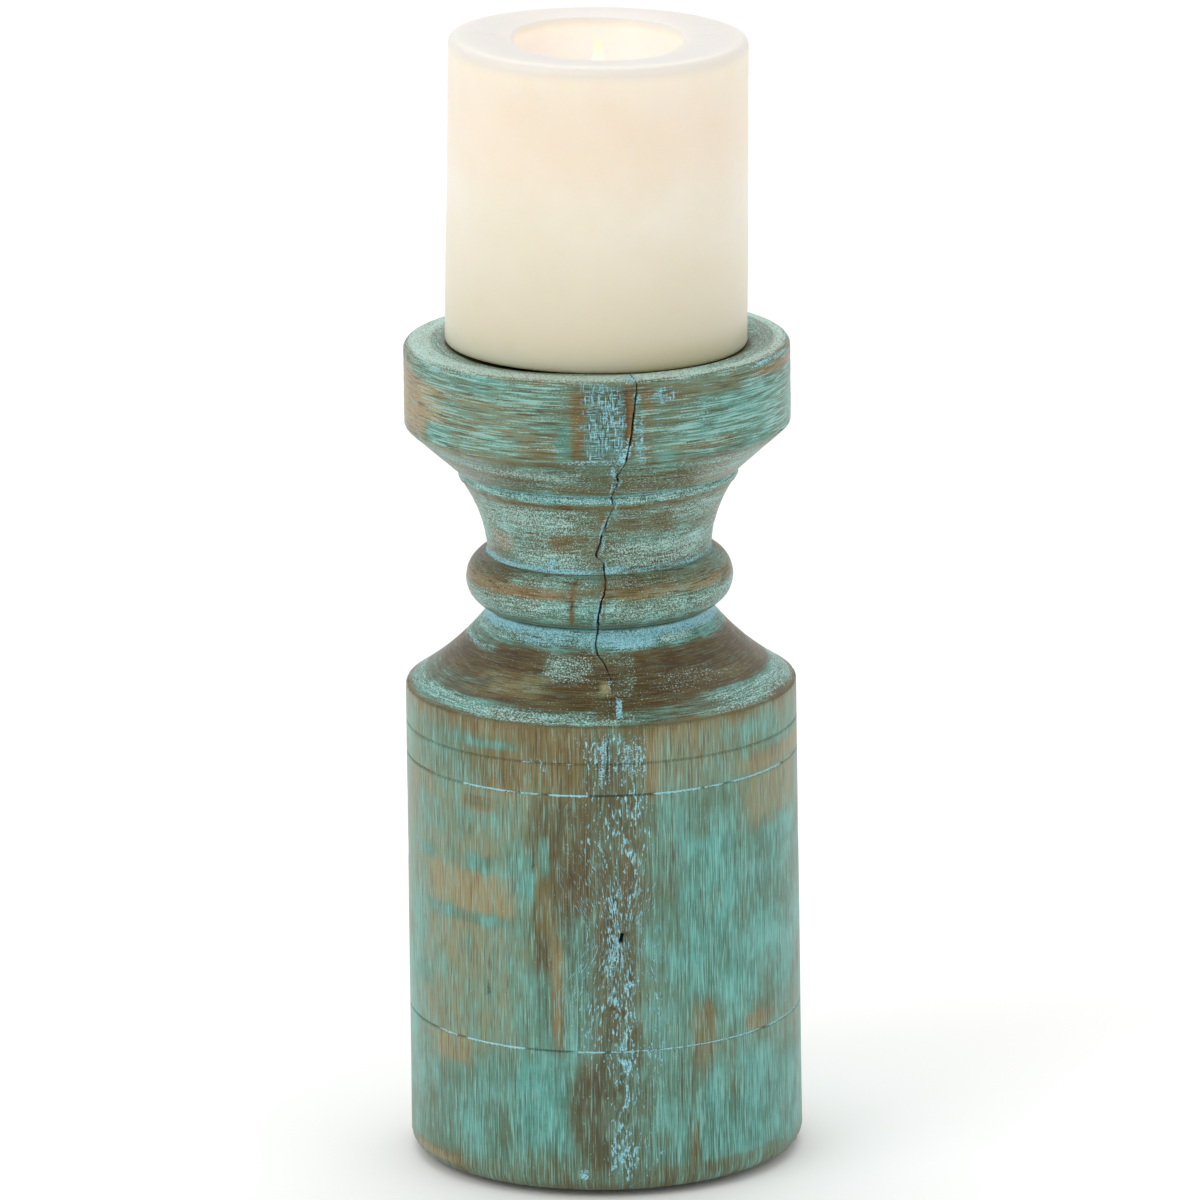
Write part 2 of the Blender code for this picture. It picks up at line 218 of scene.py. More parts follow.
# Each row paints areas of one layer: angles from and to, along from and to, value.
# teal and tan are the paint's cover and the wood's lightness; pale is dry-brushed paint,
# blue is thick bright paint, flecks is paint caught on the burl's short upright ridges.
AREAS = (
    # body wall, left side
    ("teal", (-104, -62, 0, 68, 0.68), (-104, -70, 68, 124, 0.52), (-64, -28, 38, 70, 0.45),
     (-46, -41, 46, 68, 0.55), (-28, -20, 38, 72, 0.62), (-68, -40, 92, 100, 0.6),
     (-40, -26, 92, 106, 0.52), (-30, -21, 76, 92, 0.74), (-66, -43, 84, 88, 0.55),
     (-60, -28, 73.2, 83.6, 0.2), (-66, -27, 70.2, 72.8, 0.72), (-27, -21, 66, 76, 0.62),
     (-25, -21, 80, 84, 0.95), (-68, -60, 84, 87, 0.85), (-43, -34, 84, 88, 0.8), (-80, -62, 50, 56, 0.9)),
    ("tan", (-104, -20, 28, 124, 1.0), (-60, -28, 73, 84, 0.84)),
    # body wall, olive-brown stretch left of the burl
    ("tan", (-21, -3, 38, 106, 0.18), (-16, -12, 40, 70, 0.62), (-20, -15, 70, 84, 0.5),
     (-45, -33, 100, 104, 0.5)),
    ("teal", (-20, -12, 60, 106, 0.12), (-18.5, -16, 84, 95, 0.7), (-12, -3, 76, 106, 0.06),
     (-13, -2, 40, 72, 0.56), (-20, -16, 38, 60, 0.62), (-15, -12, 40, 70, 0.1), (-20, -13, 68, 84, 0.16),
     (-21, -4, 98, 106, 0.18), (-45, -33, 100, 104, 0.2)),
    ("pale", (-13, -7, 40, 70, 0.8)),
    # burl
    ("tan", (-4, 12, 0, 124, 0.24)),
    ("teal", (-3, 12, 38, 124, 0.28), (-3, 12, 0, 38, 0.5), (-6, 0, 25, 36, 0.22)),
    ("flecks", (-14, 18, 38, 108, 0.16), (-4, 13, 74, 108, 0.46), (-6, 14, 38, 76, 0.4),
     (0, 9, 54, 80, 0.74), (2, 10, 38, 56, 0.74), (0, 12, 4, 40, 0.62), (8, 18, 4, 60, 0.25),
     (-8, 13, 108, 124, 0.42), (-22, -6, 112, 116, 0.3)),
    ("blue", (5, 12, 112, 122, 0.4), (-1, 2.5, 108, 122, 0.45)),
    # body wall, right side
    ("tan", (11, 30, 40, 106, 0.5), (44, 100, 92, 110, 0.86), (22, 100, 30, 47, 0.66),
     (26, 34, 28, 50, 0.62)),
    ("teal", (12, 24, 38, 106, 0.55), (12, 30, 60, 80, 0.66), (24, 100, 46, 96, 0.86),
     (42, 50, 66, 92, 0.72), (50, 58, 46, 60, 0.66), (25, 44, 93, 108, 0.58), (44, 100, 93, 108, 0.36),
     (26, 62, 38, 46, 0.64), (26, 34, 28, 50, 0.26), (46, 56, 39, 44, 0.15), (62, 100, 38, 46, 0.55),
     (78, 110, 46, 106, 0.62)),
    ("pale", (26, 50, 47, 92, 0.45), (36, 45, 85, 88, 0.72), (26, 62, 38, 46, 0.5)),
    # foot
    ("tan", (-60, 2, 5, 36, 0.45), (-60, -42, 30, 40, 0.85), (-10, 2, 5, 36, 0.08),
     (12, 104, 4, 30, 0.42), (-180, 180, -60, 5, 0.34), (-78, -48, 4.2, 6.6, 0.75)),
    ("teal", (-60, -26, 5, 38, 0.66), (-60, -42, 32, 40, 0.3), (-27, -8, 12, 36, 0.9),
     (-10, 2, 4, 34, 0.28), (-27, -8, 4, 12, 0.55), (12, 26, 4, 38, 0.66), (26, 104, 4, 33, 0.9),
     (34, 44, 24, 36, 0.62), (25, 28, 6, 18, 0.25), (-180, 180, -60, 5.0, 0.24), (-50, 60, 4, 8, 0.42),
     (-78, -48, 4.2, 6.6, 0.1)),
    ("pale", (12, 44, 8, 36, 0.55), (-36, -10, 7, 20, 0.35), (28, 40, 8, 20, 0.62)),
    ("blue", (-8, -5.4, 5.6, 7.6, 0.95)),
    # band above the upper scores
    ("teal", (-104, -60, 106, 124, 0.55), (-60, -40, 106, 124, 0.48), (-40, -4, 106, 124, 0.08),
     (-66, -24, 117, 119.5, 0.6), (12, 17, 106, 124, 0.1), (17, 44, 106, 124, 0.42),
     (44, 104, 108, 112, 0.2), (44, 104, 112, 124, 0.56), (-46, -12, 121, 124, 0.1)),
    ("tan", (-104, -60, 106, 124, 0.75), (-60, -8, 106, 124, 0.5), (12, 85, 106, 124, 0.78),
     (-46, -12, 121, 124, 0.55)),
    ("pale", (20, 75, 112, 121, 0.36)),
    # shoulder
    ("pale", (-180, 180, 126, 149, -0.25), (-104, -40, 126, 130.5, 0.55), (-44, 12, 124.8, 129.5, 0.72),
     (34, 100, 125.5, 132, 0.7), (-24, -2, 138, 147, 0.5), (5, 14, 133, 147, 0.3), (-4, 8, 128, 150, 0.1),
     (20, 50, 134, 141, 0.3)),
    ("tan", (-180, 180, 126, 150, 0.14), (-48, -20, 133, 140, 0.55), (0, 4, 135, 139, 0.8)),
    ("teal", (-180, 180, 124.5, 150, -0.3), (-50, -18, 133, 141, 0.1), (-180, 180, 148, 150, 0.4),
     (-104, -30, 125.5, 131, 0.8), (-104, -50, 131, 136, 0.4), (-40, 22, 125, 130, 0.56),
     (20, 34, 126, 131, 0.35), (34, 104, 126, 133, 0.82), (-104, -50, 143.5, 147, 0.5),
     (-26, -4, 138, 147, 0.28), (5, 14, 132, 147, 0.12), (-2, 6, 126, 150, 0.04), (0, 4, 130, 139, 0.1)),
    ("blue", (-42, -12, 127, 129.5, 0.35), (-104, -50, 144.4, 145.6, 0.6), (4.6, 6.6, 127, 134, 0.9)),
    # neck and ring
    ("teal", (-180, 180, 147.5, 157, 0.82), (-180, 180, 157, 165, 0.6), (-180, 180, 165, 172.6, 0.32),
     (-104, -46, 167.5, 172.5, 0.08), (-104, -18, 164.6, 167.4, 0.06), (12, 62, 165, 167.4, 0.25),
     (50, 104, 165, 168, 0.08), (-46, 0, 167.6, 172, 0.48), (6, 22, 165, 168, 0.1),
     (-10.5, 2, 156.5, 165.6, 0.75), (-180, 180, 155.8, 157.6, 0.3)),
    ("blue", (-180, 180, 150.8, 153.7, 0.95), (-44, -2, 148.6, 152, 0.6), (0, 30, 148.0, 152, 0.92),
     (-18, 12, 153, 156, 0.25)),
    ("pale", (-104, -34, 148.5, 152, 0.7), (30, 50, 149, 151.5, 0.9), (-180, 180, 158.5, 164.5, 0.62),
     (-46, 0, 167.4, 171.5, 0.5), (6, 40, 168, 172, 0.4), (-10, 2, 156.5, 165.5, 0.45)),
    ("tan", (-180, 180, 157, 173, 0.52), (-104, -46, 168, 172.5, 0.28), (-104, -20, 164.4, 167.6, 0.66),
     (20, 62, 165, 167.2, 0.8)),
    ("rust", (-104, -18, 164.4, 167.2, 0.66)),
    # flare and bead
    ("blue", (-104, -2, 172.9, 174.3, 0.8), (2, 14, 172.9, 175.4, 0.75), (14, 104, 173.1, 174.3, 0.6),
     (-26, -22, 174, 177, 0.9), (-180, 180, 196.4, 198.0, 0.8), (-46, 6, 194.4, 196.4, 0.45)),
    ("teal", (-180, 180, 172.6, 195, 0.56), (-24, -4, 178, 183.5, 0.14), (-12, 3, 176, 191, 0.4),
     (5, 40, 183, 190.5, 0.28), (-68, -48, 177, 182, 0.2), (-180, 180, 192.0, 193.8, 0.12),
     (-180, 180, 194.4, 198.4, 0.85)),
    ("tan", (-180, 180, 174, 197, 0.48), (5, 40, 183, 190.5, 0.42), (-68, -48, 177, 182, 0.7)),
    ("pale", (-180, 180, 175, 192, 0.52), (-52, -6, 184.5, 191.5, 0.78), (6, 62, 174.6, 181, 0.8),
     (-50, -6, 174.6, 178, 0.72), (-24, -6, 178, 183.5, 0.3), (-12, 3, 176, 191, 0.34),
     (5, 36, 182, 190, 0.22), (34, 66, 187, 192, 0.7), (-180, 180, 192, 193.8, 0.1),
     (-180, 180, 194.4, 196.4, 0.72)),
    ("rust", (-68, -48, 177, 182, 0.45), (-30, 34, 192.0, 193.6, 0.55)),
    # cone under the cup
    ("teal", (-180, 180, 198.4, 214, 0.42), (-22, 4, 199, 203, 0.12), (10, 44, 199.5, 202.5, 0.16),
     (-40, -6, 203, 205.6, 0.24), (10, 44, 204, 208, 0.26), (42, 74, 199, 202, 0.14),
     (-180, 180, 209, 213, 0.5), (-60, -6, 212.6, 215, 0.12), (8, 60, 212.6, 214.6, 0.24)),
    ("tan", (-180, 180, 198, 214, 0.4), (42, 74, 199, 202.5, 0.62)),
    ("pale", (-180, 180, 199, 213, 0.34), (-46, -6, 205.6, 208.2, 0.72), (36, 75, 202, 211, 0.62)),
    ("blue", (-9, 6, 214, 215.4, 0.55)),
    # cup
    ("teal", (-180, 180, 215, 235, 0.58), (-104, -54, 216, 233, -0.06), (-62, -50, 215.5, 220.5, 0.86),
     (-74, -30, 230, 235.4, 0.66), (-48, -22, 220, 230, 0.46), (-46, -20, 215, 220, 0.56),
     (-22, -12, 216, 222, 0.34), (-12, -7, 215, 224, 0.86), (-8, -4, 216, 233, 0.1),
     (-4, 13, 215, 234, 0.52), (13.5, 17, 215, 233, 0.2), (17, 30, 215, 230, 0.5),
     (30, 104, 216, 230, 0.76), (18, 52, 229.6, 234.5, 0.34), (54, 104, 230.8, 233.4, 0.1),
     (20, 46, 216, 219, 0.26), (40, 104, 214, 217, 0.7), (8.2, 10.8, 217, 234, -0.1)),
    ("tan", (-180, 180, 214, 235, 0.52), (-104, -50, 214, 233, 0.86), (-54, -22, 214, 235, 0.85),
     (-8, -4, 216, 233, 0.44), (-4, 13, 215, 234, 0.02), (13.5, 17, 215, 233, 0.46),
     (54, 104, 230.8, 233.4, 0.6), (9, 11, 217, 235, 0.4)),
    ("pale", (-180, 180, 216, 234, 0.42), (-104, -57, 216, 231, 0.1), (-72, -40, 230, 235.4, 0.86),
     (-46, -24, 216, 221, 0.85), (-66, -44, 216, 230, 0.62), (-30, -8, 228, 234, 0.72),
     (-8, -4, 216, 233, 0.15), (-4, 9, 216, 234, 0.05), (26, 76, 216.5, 229.5, 0.78),
     (26, 52, 229.6, 234.5, 0.12), (8.2, 10.8, 216, 234, -0.2)),
    ("rust", (-84, -64, 216, 233, 0.42), (-8, -4, 216, 233, 0.5), (13.5, 17, 215, 224, 0.75),
     (13, 16.5, 227, 233, 0.65), (54, 104, 230.8, 233.4, 0.6), (8.4, 10.4, 217, 234, 0.55)),
    ("flecks", (-3.5, 8.6, 216, 234, 1.0), (11, 14, 215, 228, 0.5), (18, 24, 229.5, 233, 0.85),
     (8.2, 10.8, 216, 234, 0.0)),
    ("blue", (52, 80, 233.8, 235.2, 0.6)),
    # rim and dish
    ("tan", (-180, 180, 235.2, 242, 1.35), (40, 104, 239, 242, 0.45), (-180, 180, 234.8, 236, 0.5),
     (-180, 180, 241.8, 246, 0.25), (-180, 180, 246, 330, 0.12)),
    ("teal", (-180, 180, 235.0, 242, 0.24), (30, 104, 238, 241.8, 0.55), (-180, 180, 241.8, 246, 0.5),
     (-180, 180, 246, 330, 0.16)),
    ("pale", (-180, 180, 235.4, 241.8, 1.15), (40, 104, 238.5, 242, 0.55),
     (-180, 180, 241.8, 244.5, 0.62), (-180, 180, 246, 330, 0.05)),
    ("blue", (8, 12, 234.5, 242, 0.7), (-104, -14, 237.5, 241.6, 0.3)),
)
# Each row holds strokes of one layer: angle and along of both ends, half width in mm, value.
STROKES = (
    ("rust", (7.5, 96, 5.2, 78, 0.5, 0.9), (-0.5, 81, -1.5, 70, 0.6, 0.8), (-3, 70, -3.5, 58, 0.7, 0.7),
     (-9.8, 81, -10, 77, 1.2, 0.9), (-17, 94, -16, 90, 1.1, 0.95), (18.6, 71, 18.4, 66, 0.5, 0.8),
     (-14.5, 56, -14.5, 41, 0.9, 0.75), (28.5, 52, 28, 42, 0.8, 0.5), (52, 44, 53, 40, 1.2, 0.6),
     (-43, 96, -42, 92, 0.7, 0.8), (-57, 23, -58, 20, 0.7, 0.6), (-60, 19, -57, 12, 0.8, 0.8),
     (44, 20, 43, 17, 0.9, 0.6), (24, 25, 25, 20, 0.7, 0.5), (-16, 28, -17, 18, 0.6, 0.5),
     (-11.5, 170, -13, 156, 1.3, 0.8), (2.2, 170, 0.8, 160, 0.9, 0.8), (1.0, 191, 2.0, 186, 1.0, 0.8)),
    ("dirt", (-20.6, 93, -20, 83, 0.6, 0.65), (-19.4, 80, -19.6, 67, 0.65, 0.6),
     (-12.6, 78, -12, 73, 0.4, 0.5), (-35.6, 57, -36.6, 50, 0.55, 0.7), (2.5, 55, -2.8, 29, 0.9, 0.42),
     (-3.5, 97, -7.5, 76, 0.8, 0.34), (-58, 17, -59, 12, 0.5, 0.4), (25.5, 16, 28, 7, 0.5, 0.4),
     (-24, 16, -24, 10, 0.5, 0.35), (-11.8, 169, -12.4, 159, 0.75, 0.8), (9.2, 234, 9.4, 218, 0.3, 0.35),
     (-44, 102, -36, 101, 0.5, 0.15), (3.4, 187.5, 2.6, 184.4, 0.55, 0.75),
     (1.2, 183.4, -0.4, 180.2, 0.6, 0.8), (-1.0, 181.4, -1.9, 177.6, 0.45, 0.8),
     (2.4, 177.5, 2.4, 174, 0.4, 0.6), (9, 219, 8.5, 215, 0.3, 0.4), (76, 27, 78, 22, 0.5, 0.4),
     (-76, 30, -74, 22, 0.6, 0.3)),
    ("teal", (-11.5, 170, -12.6, 157, 1.0, -0.1), (2.2, 170, 0.8, 160, 0.8, -0.1),
     (1.0, 191, 2.0, 186, 0.9, -0.1)),
    ("pale", (-11.5, 170, -12.6, 157, 1.2, -0.2), (2.2, 170, 0.8, 160, 0.9, -0.2),
     (1.0, 191, 2.0, 186, 1.0, -0.2)),
    ("blue", (7.2, 218, 6.6, 214, 0.9, 1.0), (4.6, 213, 4.8, 207, 0.9, 1.0),
     (4.8, 206, 4.4, 199, 0.4, 0.8), (7.2, 196, 7.0, 190, 0.5, 0.7), (3.4, 190, 0.0, 182, 0.9, 0.85),
     (3.0, 184, 0.8, 178, 0.8, 0.8), (3.2, 178, 3.4, 173, 0.8, 0.85), (0.0, 165, -2.2, 158, 0.7, 0.8),
     (-2.6, 162, -2.4, 155, 0.5, 0.9), (-4, 151, -3.4, 147, 0.5, 0.8), (11, 238, 12.6, 235, 1.0, 0.7),
     (13, 226, 12.2, 216, 0.5, 0.8), (0.2, 122, 0, 110, 0.5, 0.7), (3.4, 69, 1.5, 55, 0.5, 0.7),
     (-12, 171, -14, 169, 0.7, 0.8), (-16, 174, -18, 172, 0.7, 0.8)),
)
BASE_LEVELS = {"teal": 0.5, "pale": 0.06, "tan": 0.5, "rust": 0.0, "blue": 0.0, "flecks": 0.0, "dirt": 0.0}
DEGREE = 0.873  # one degree round the wood, in mm
# dirt and painted shade in the turned creases
CREASES = (
    # along, half width, how dark
    (124.6, 0.7, 0.45), (154.2, 0.5, 0.35), (157.0, 0.5, 0.3), (172.5, 0.4, 0.4), (213.7, 0.6, 0.4),
    (193.0, 0.4, 0.35), (235.3, 0.28, 0.28), (241.9, 0.4, 0.18), (153.9, 0.3, 0.5),
)
# how much darker each score is where it has no pale dashes
SCORE_DARK = (0.58, 0.58, 0.16)
SCORE_DASHES = (
    # score number, angles from and to, how pale
    (0, -58, -49, 0.9), (0, -45, -24, 1.0), (0, -9, 0, 1.0), (0, 1, 52, 0.75), (0, 55, 84, 0.8),
    (1, -62, -48, 0.4), (1, -46, -27, 0.9), (1, -26, -18, 0.85), (1, -16, -4, 1.0), (1, 15, 30, 1.0),
    (1, 31, 38, 0.85), (1, 41, 66, 0.9), (1, 68, 85, 0.6), (2, -24, -20, 0.7), (2, -11, -8, 0.6),
    (2, 14, 80, 0.35),
)


def smooth_step(values, low, high):
    t = np.clip((values - low) / (high - low), 0.0, 1.0)
    return t * t * (3.0 - 2.0 * t)


def window(values, low, high, soft):
    """1 between low and high, falling to 0 over soft at each end."""
    soft = min(soft, (high - low) / 2.0)
    falling = 1.0 - smooth_step(values, high - soft, high + soft)
    return smooth_step(values, low - soft, low + soft) * falling


def bell(distance, half):
    """1 at no distance, falling smoothly past half."""
    return np.exp(-((distance / half) ** 2))


def noise_field(points, size, seed):
    """Smooth noise of about -1 to 1; size is how far apart its features are, in mm."""
    shift = Vector((seed * 17.3, seed * -5.1, seed * 9.7))
    flat = (points / size).reshape(-1, 3)
    return np.array([noise.noise(Vector(p) + shift) for p in flat]).reshape(points.shape[:-1])


def area_mask(area, angle, along, drift):
    """How much an area covers every point: its edges drift more the larger it is."""
    a0, a1, s0, s1 = area
    round_drift, up_drift = drift
    width, tall = a1 - a0, s1 - s0
    mask = window(along + up_drift * min(1.0, tall / 30.0), s0, s1, min(7.0, max(0.3, tall * 0.22)))
    if width < 300:
        loose = min(1.0, width / 24.0)
        mask = mask * window(angle + round_drift * loose, a0, a1, min(7.0, max(0.5, width * 0.22)))
    return mask


def stroke_mask(stroke, angle, along):
    """How much a stroke from one point to another covers every point."""
    a0, s0, a1, s1, half = stroke
    dx, dy = (a1 - a0) * DEGREE, s1 - s0
    x, y = (angle - a0) * DEGREE, along - s0
    t = np.clip((x * dx + y * dy) / (dx * dx + dy * dy), 0.0, 1.0)
    tapered = np.sin(np.clip(t, 0.08, 0.92) * pi) ** 0.5
    return bell(np.hypot(x - t * dx, y - t * dy), half) * tapered


def paint_layers(angle, along, points, turned_part):
    """The layers of paint and wear at every point of the wood, from AREAS and STROKES."""
    # the back repeats the front's areas, mirrored at the sides
    folded = np.where(np.abs(angle) > 90.0, np.sign(angle) * (180.0 - np.abs(angle)), angle)
    # an area's edges wander, and run out in streaks up the grain or round the lathe
    upright = points / np.array([1.8, 1.8, 26.0])
    level = points / np.array([22.0, 22.0, 1.1])
    round_drift = 2.4 * noise_field(points, 10.0, 1) + turned_part * 7.0 * noise_field(level, 1.0, 21)
    up_drift = 1.1 * noise_field(points, 9.0, 2) + (1.0 - turned_part) * 4.5 * noise_field(upright, 1.0, 22)
    layers = {name: np.full(angle.shape, base) for name, base in BASE_LEVELS.items()}
    for layer, *areas in AREAS:
        for *area, value in areas:
            mask = area_mask(area, folded, along, (round_drift, up_drift))
            layers[layer] += (value - layers[layer]) * mask
    wander = angle + 0.6 * noise_field(points, 3.0, 23)
    for layer, *strokes in STROKES:
        for *stroke, value in strokes:
            layers[layer] += (value - layers[layer]) * stroke_mask(stroke, wander, along)
    return layers


# ------------------------ turned meshes

REFERENCE_RADIUS = 50.0  # the lathe coordinates unroll the wood at this radius


def distances(outline):
    """Distance along an outline, from its first point."""
    steps = np.hypot(*np.diff(outline, axis=0).T)
    return np.concatenate([[0.0], np.cumsum(steps)])


def spread_round(outline, columns):
    """Angle, radius and height of every point of an outline turned through the columns."""
    angle = np.repeat(columns[None, :], len(outline), axis=0)
    radius = np.repeat(outline[:, :1], len(columns), axis=1)
    height = np.repeat(outline[:, 1:], len(columns), axis=1)
    return angle, radius, height


def even_columns(count):
    """Angles that go evenly all the way round."""
    return np.linspace(-180.0, 180.0, count + 1)[:-1]


def ring_faces(rows, columns):
    """Quads of a tube of rows and columns of points, closed round its columns."""
    row, column = np.meshgrid(np.arange(rows - 1), np.arange(columns), indexing="ij")
    beside = (column + 1) % columns
    here, there = row * columns, (row + 1) * columns
    quads = np.stack([here + column, here + beside, there + beside, there + column], axis=-1)
    return quads.reshape(-1, 4)


def put_in_scene(name, data):
    """A new object of the scene that shows a mesh, a light or a camera."""
    made = bpy.data.objects.new(name, data)
    bpy.context.scene.collection.objects.link(made)
    return made


def turned_piece(name, radius, height, angle, layers):
    """A mesh from radius, height and angle arrays (rows, columns), in mm and degrees.

    Rows whose radius is 0 become single points, so the piece is closed at the axis.
    """
    turn = np.radians(angle)
    x, y = radius * np.sin(turn), -radius * np.cos(turn)
    points = np.stack([x, y, height], axis=-1) * MM
    rows, columns = radius.shape
    quads = ring_faces(rows, columns)
    pole_rows = [i for i in (0, rows - 1) if radius[i].max() < 1e-6]
    target = np.arange(rows * columns)
    for i in pole_rows:
        target[i * columns:(i + 1) * columns] = i * columns
    kept, packed = np.unique(target, return_inverse=True)
    faces = []
    for quad in packed[quads].tolist():
        corners = list(dict.fromkeys(quad))
        if len(corners) > 2:
            faces.append(corners)
    mesh = bpy.data.meshes.new(name)
    mesh.from_pydata(points.reshape(-1, 3)[kept].tolist(), [], faces)
    for layer, values in layers.items():
        flat = values.reshape(rows * columns, -1)[kept].astype(np.float32)
        kind, field = ("FLOAT", "value") if flat.shape[1] == 1 else ("FLOAT_VECTOR", "vector")
        mesh.attributes.new(layer, kind, "POINT").data.foreach_set(field, flat.ravel())
    mesh.shade_smooth()
    return put_in_scene(name, mesh)


def settle(piece, body, slot, material, *nodes):
    """Gives a piece its material and its body, and hides the CAD nodes it stands for; slot is not used."""
    piece.data.materials.clear()
    piece.data.materials.append(material)
    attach(piece, body)
    if nodes:
        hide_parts(*nodes)
    return piece


# ------------------------ shader graphs

def srgb(red, green, blue):
    """A colour given as 0 to 255 display values, as linear RGBA."""
    linear = []
    for c in (red, green, blue):
        linear.append(((c / 255.0 + 0.055) / 1.055) ** 2.4 if c > 10 else c / 255.0 / 12.92)
    return (*linear, 1.0)


class Graph:
    """Builds the nodes of one material. Each method gives the socket it made."""

    def __init__(self, name):
        self.material = bpy.data.materials.new(name)
        self.material.use_nodes = True
        self.tree = self.material.node_tree
        self.surface = self.tree.nodes["Principled BSDF"]

    def put(self, socket, value):
        if isinstance(value, bpy.types.NodeSocket):
            self.tree.links.new(value, socket)
        else:
            socket.default_value = value

    def node(self, kind, inputs, **settings):
        made = self.tree.nodes.new(kind)
        for key, value in settings.items():
            setattr(made, key, value)
        for key, value in inputs.items():
            self.put(made.inputs[key], value)
        return made

    def finish(self, **inputs):
        for key, value in inputs.items():
            self.put(self.surface.inputs[key.replace("_", " ")], value)
        return self.material

    def layer(self, name):
        return self.node("ShaderNodeAttribute", {}, attribute_name=name).outputs["Fac"]

    def layer_vector(self, name):
        return self.node("ShaderNodeAttribute", {}, attribute_name=name).outputs["Vector"]

    def place(self):
        return self.node("ShaderNodeTexCoord", {}).outputs["Object"]

    def math(self, operation, first, second=0.0, third=0.0):
        inputs = {0: first, 1: second, 2: third}
        return self.node("ShaderNodeMath", inputs, operation=operation).outputs[0]

    def add(self, *values):
        total = values[0]
        for value in values[1:]:
            total = self.math("ADD", total, value)
        return total

    def times(self, first, second):
        return self.math("MULTIPLY", first, second)

    def away(self, value, gain):
        """How far a noise value is from its middle, times gain."""
        return self.math("MULTIPLY_ADD", value, gain, -0.5 * gain)

    def step(self, value, low, high, to_low=0.0, to_high=1.0):
        inputs = {"Value": value, "From Min": low, "From Max": high, "To Min": to_low, "To Max": to_high}
        made = self.node("ShaderNodeMapRange", inputs, interpolation_type="SMOOTHSTEP")
        return made.outputs["Result"]

    def between(self, share, first, second):
        inputs = {"Factor": share, 2: first, 3: second}
        return self.node("ShaderNodeMix", inputs, data_type="FLOAT", clamp_factor=True).outputs[0]

    def colours(self, share, first, second, blend="MIX"):
        inputs = {"Factor": share, 6: first, 7: second}
        made = self.node("ShaderNodeMix", inputs, data_type="RGBA", blend_type=blend, clamp_factor=True)
        return made.outputs[2]

    def stretched(self, vector, around, up):
        """Lathe coordinates squeezed by around and up, for streaks."""
        inputs = {0: vector, 1: (around, around, up)}
        return self.node("ShaderNodeVectorMath", inputs, operation="MULTIPLY").outputs[0]

    def noise(self, vector, scale=1.0, detail=2.0, roughness=0.5, distortion=0.0):
        inputs = {"Vector": vector, "Scale": scale, "Detail": detail, "Roughness": roughness,
                  "Distortion": distortion}
        return self.node("ShaderNodeTexNoise", inputs).outputs["Fac"]

    def bump(self, height, millimetres, strength=1.0):
        inputs = {"Height": height, "Distance": millimetres * MM, "Strength": strength}
        return self.node("ShaderNodeBump", inputs).outputs["Normal"]


# ------------------------ painted wood

WOOD_DARK = srgb(64, 48, 18)
WOOD_MID = srgb(106, 93, 52)
WOOD_TAN = srgb(160, 147, 108)
RUST = srgb(136, 88, 40)
# near-black, for dirt and for painted shade
SOOT_AND_SHADE = srgb(20, 16, 8)
GREEN_WASH = srgb(88, 116, 94)
TURQUOISE_DEEP = srgb(66, 126, 112)
TURQUOISE = srgb(96, 168, 160)
THREAD = srgb(134, 192, 182)
PALE = srgb(188, 220, 214)
BLUE = srgb(92, 168, 184)
ICE = srgb(164, 214, 222)


# In the functions below g is the graph, layer holds the mesh's layers and n the noises.


def wood_noises(g, lathe, turned):
    """The noises that the paint's layers share, by name."""

    def streaks(up, level, **settings):
        """Noise drawn out up the body's grain, and round the turned parts.

        up and level are the noise's rates round the wood and along it, per mm.
        """
        first = g.noise(g.stretched(lathe, *up), **settings)
        return g.between(turned, first, g.noise(g.stretched(lathe, *level), **settings))

    return SimpleNamespace(
        broad=streaks((0.26, 0.034), (0.024, 0.30), detail=4.0, roughness=0.6),
        fine=streaks((2.0, 0.060), (0.09, 2.3), detail=2.0, roughness=0.6),
        hair=streaks((3.3, 0.12), (0.12, 2.6), detail=1.0, roughness=0.6),
        thread=streaks((3.3, 0.14), (0.12, 3.0), detail=1.0, roughness=0.6),
        blotch=g.noise(lathe, scale=0.09, detail=5.0, roughness=0.6),
        grit=g.noise(g.stretched(lathe, 1.8, 2.7), detail=2.0, roughness=0.7),
        patches=g.noise(g.stretched(lathe, 0.35, 0.12), detail=2.0, roughness=0.6),
    )


def bare_wood(g, layer, n):
    """Dark brown to tan wood, with rust-brown stains."""
    tone = g.add(layer.tan, g.away(n.broad, 0.5), g.away(n.fine, 0.6), g.away(n.blotch, 0.5))
    wood = g.colours(g.step(tone, -0.10, 0.5), WOOD_DARK, WOOD_MID)
    wood = g.colours(g.step(tone, 0.35, 1.0), wood, WOOD_TAN)
    return g.colours(g.times(layer.rust, g.step(n.fine, 0.35, 0.65)), wood, RUST)


def brushed_paint(g, layer, n, coat):
    """A thin green wash that was rubbed in, then turquoise brushed along.

    Gives the coat, how painted every place is, and how much of it the turquoise covers.
    """
    ground = g.add(layer.teal, g.times(g.away(n.broad, 1.0), g.between(layer.round, 0.5, 0.8)))
    ground = g.add(ground, g.away(n.blotch, 0.7))
    ground = g.add(ground, g.times(g.away(n.fine, 1.0), g.between(layer.round, 0.28, 0.75)))
    coat = g.colours(g.step(ground, -0.15, 0.75, 0.0, 0.78), coat, GREEN_WASH)
    mood = g.add(g.away(n.blotch, 1.5), g.away(n.broad, 0.5), g.away(n.fine, 0.35), g.away(n.thread, 0.5))
    shade = g.colours(g.step(mood, -0.32, 0.32), TURQUOISE_DEEP, TURQUOISE)
    cover = g.step(ground, 0.22, 1.05, 0.0, 0.94)
    return g.colours(cover, coat, shade), ground, cover


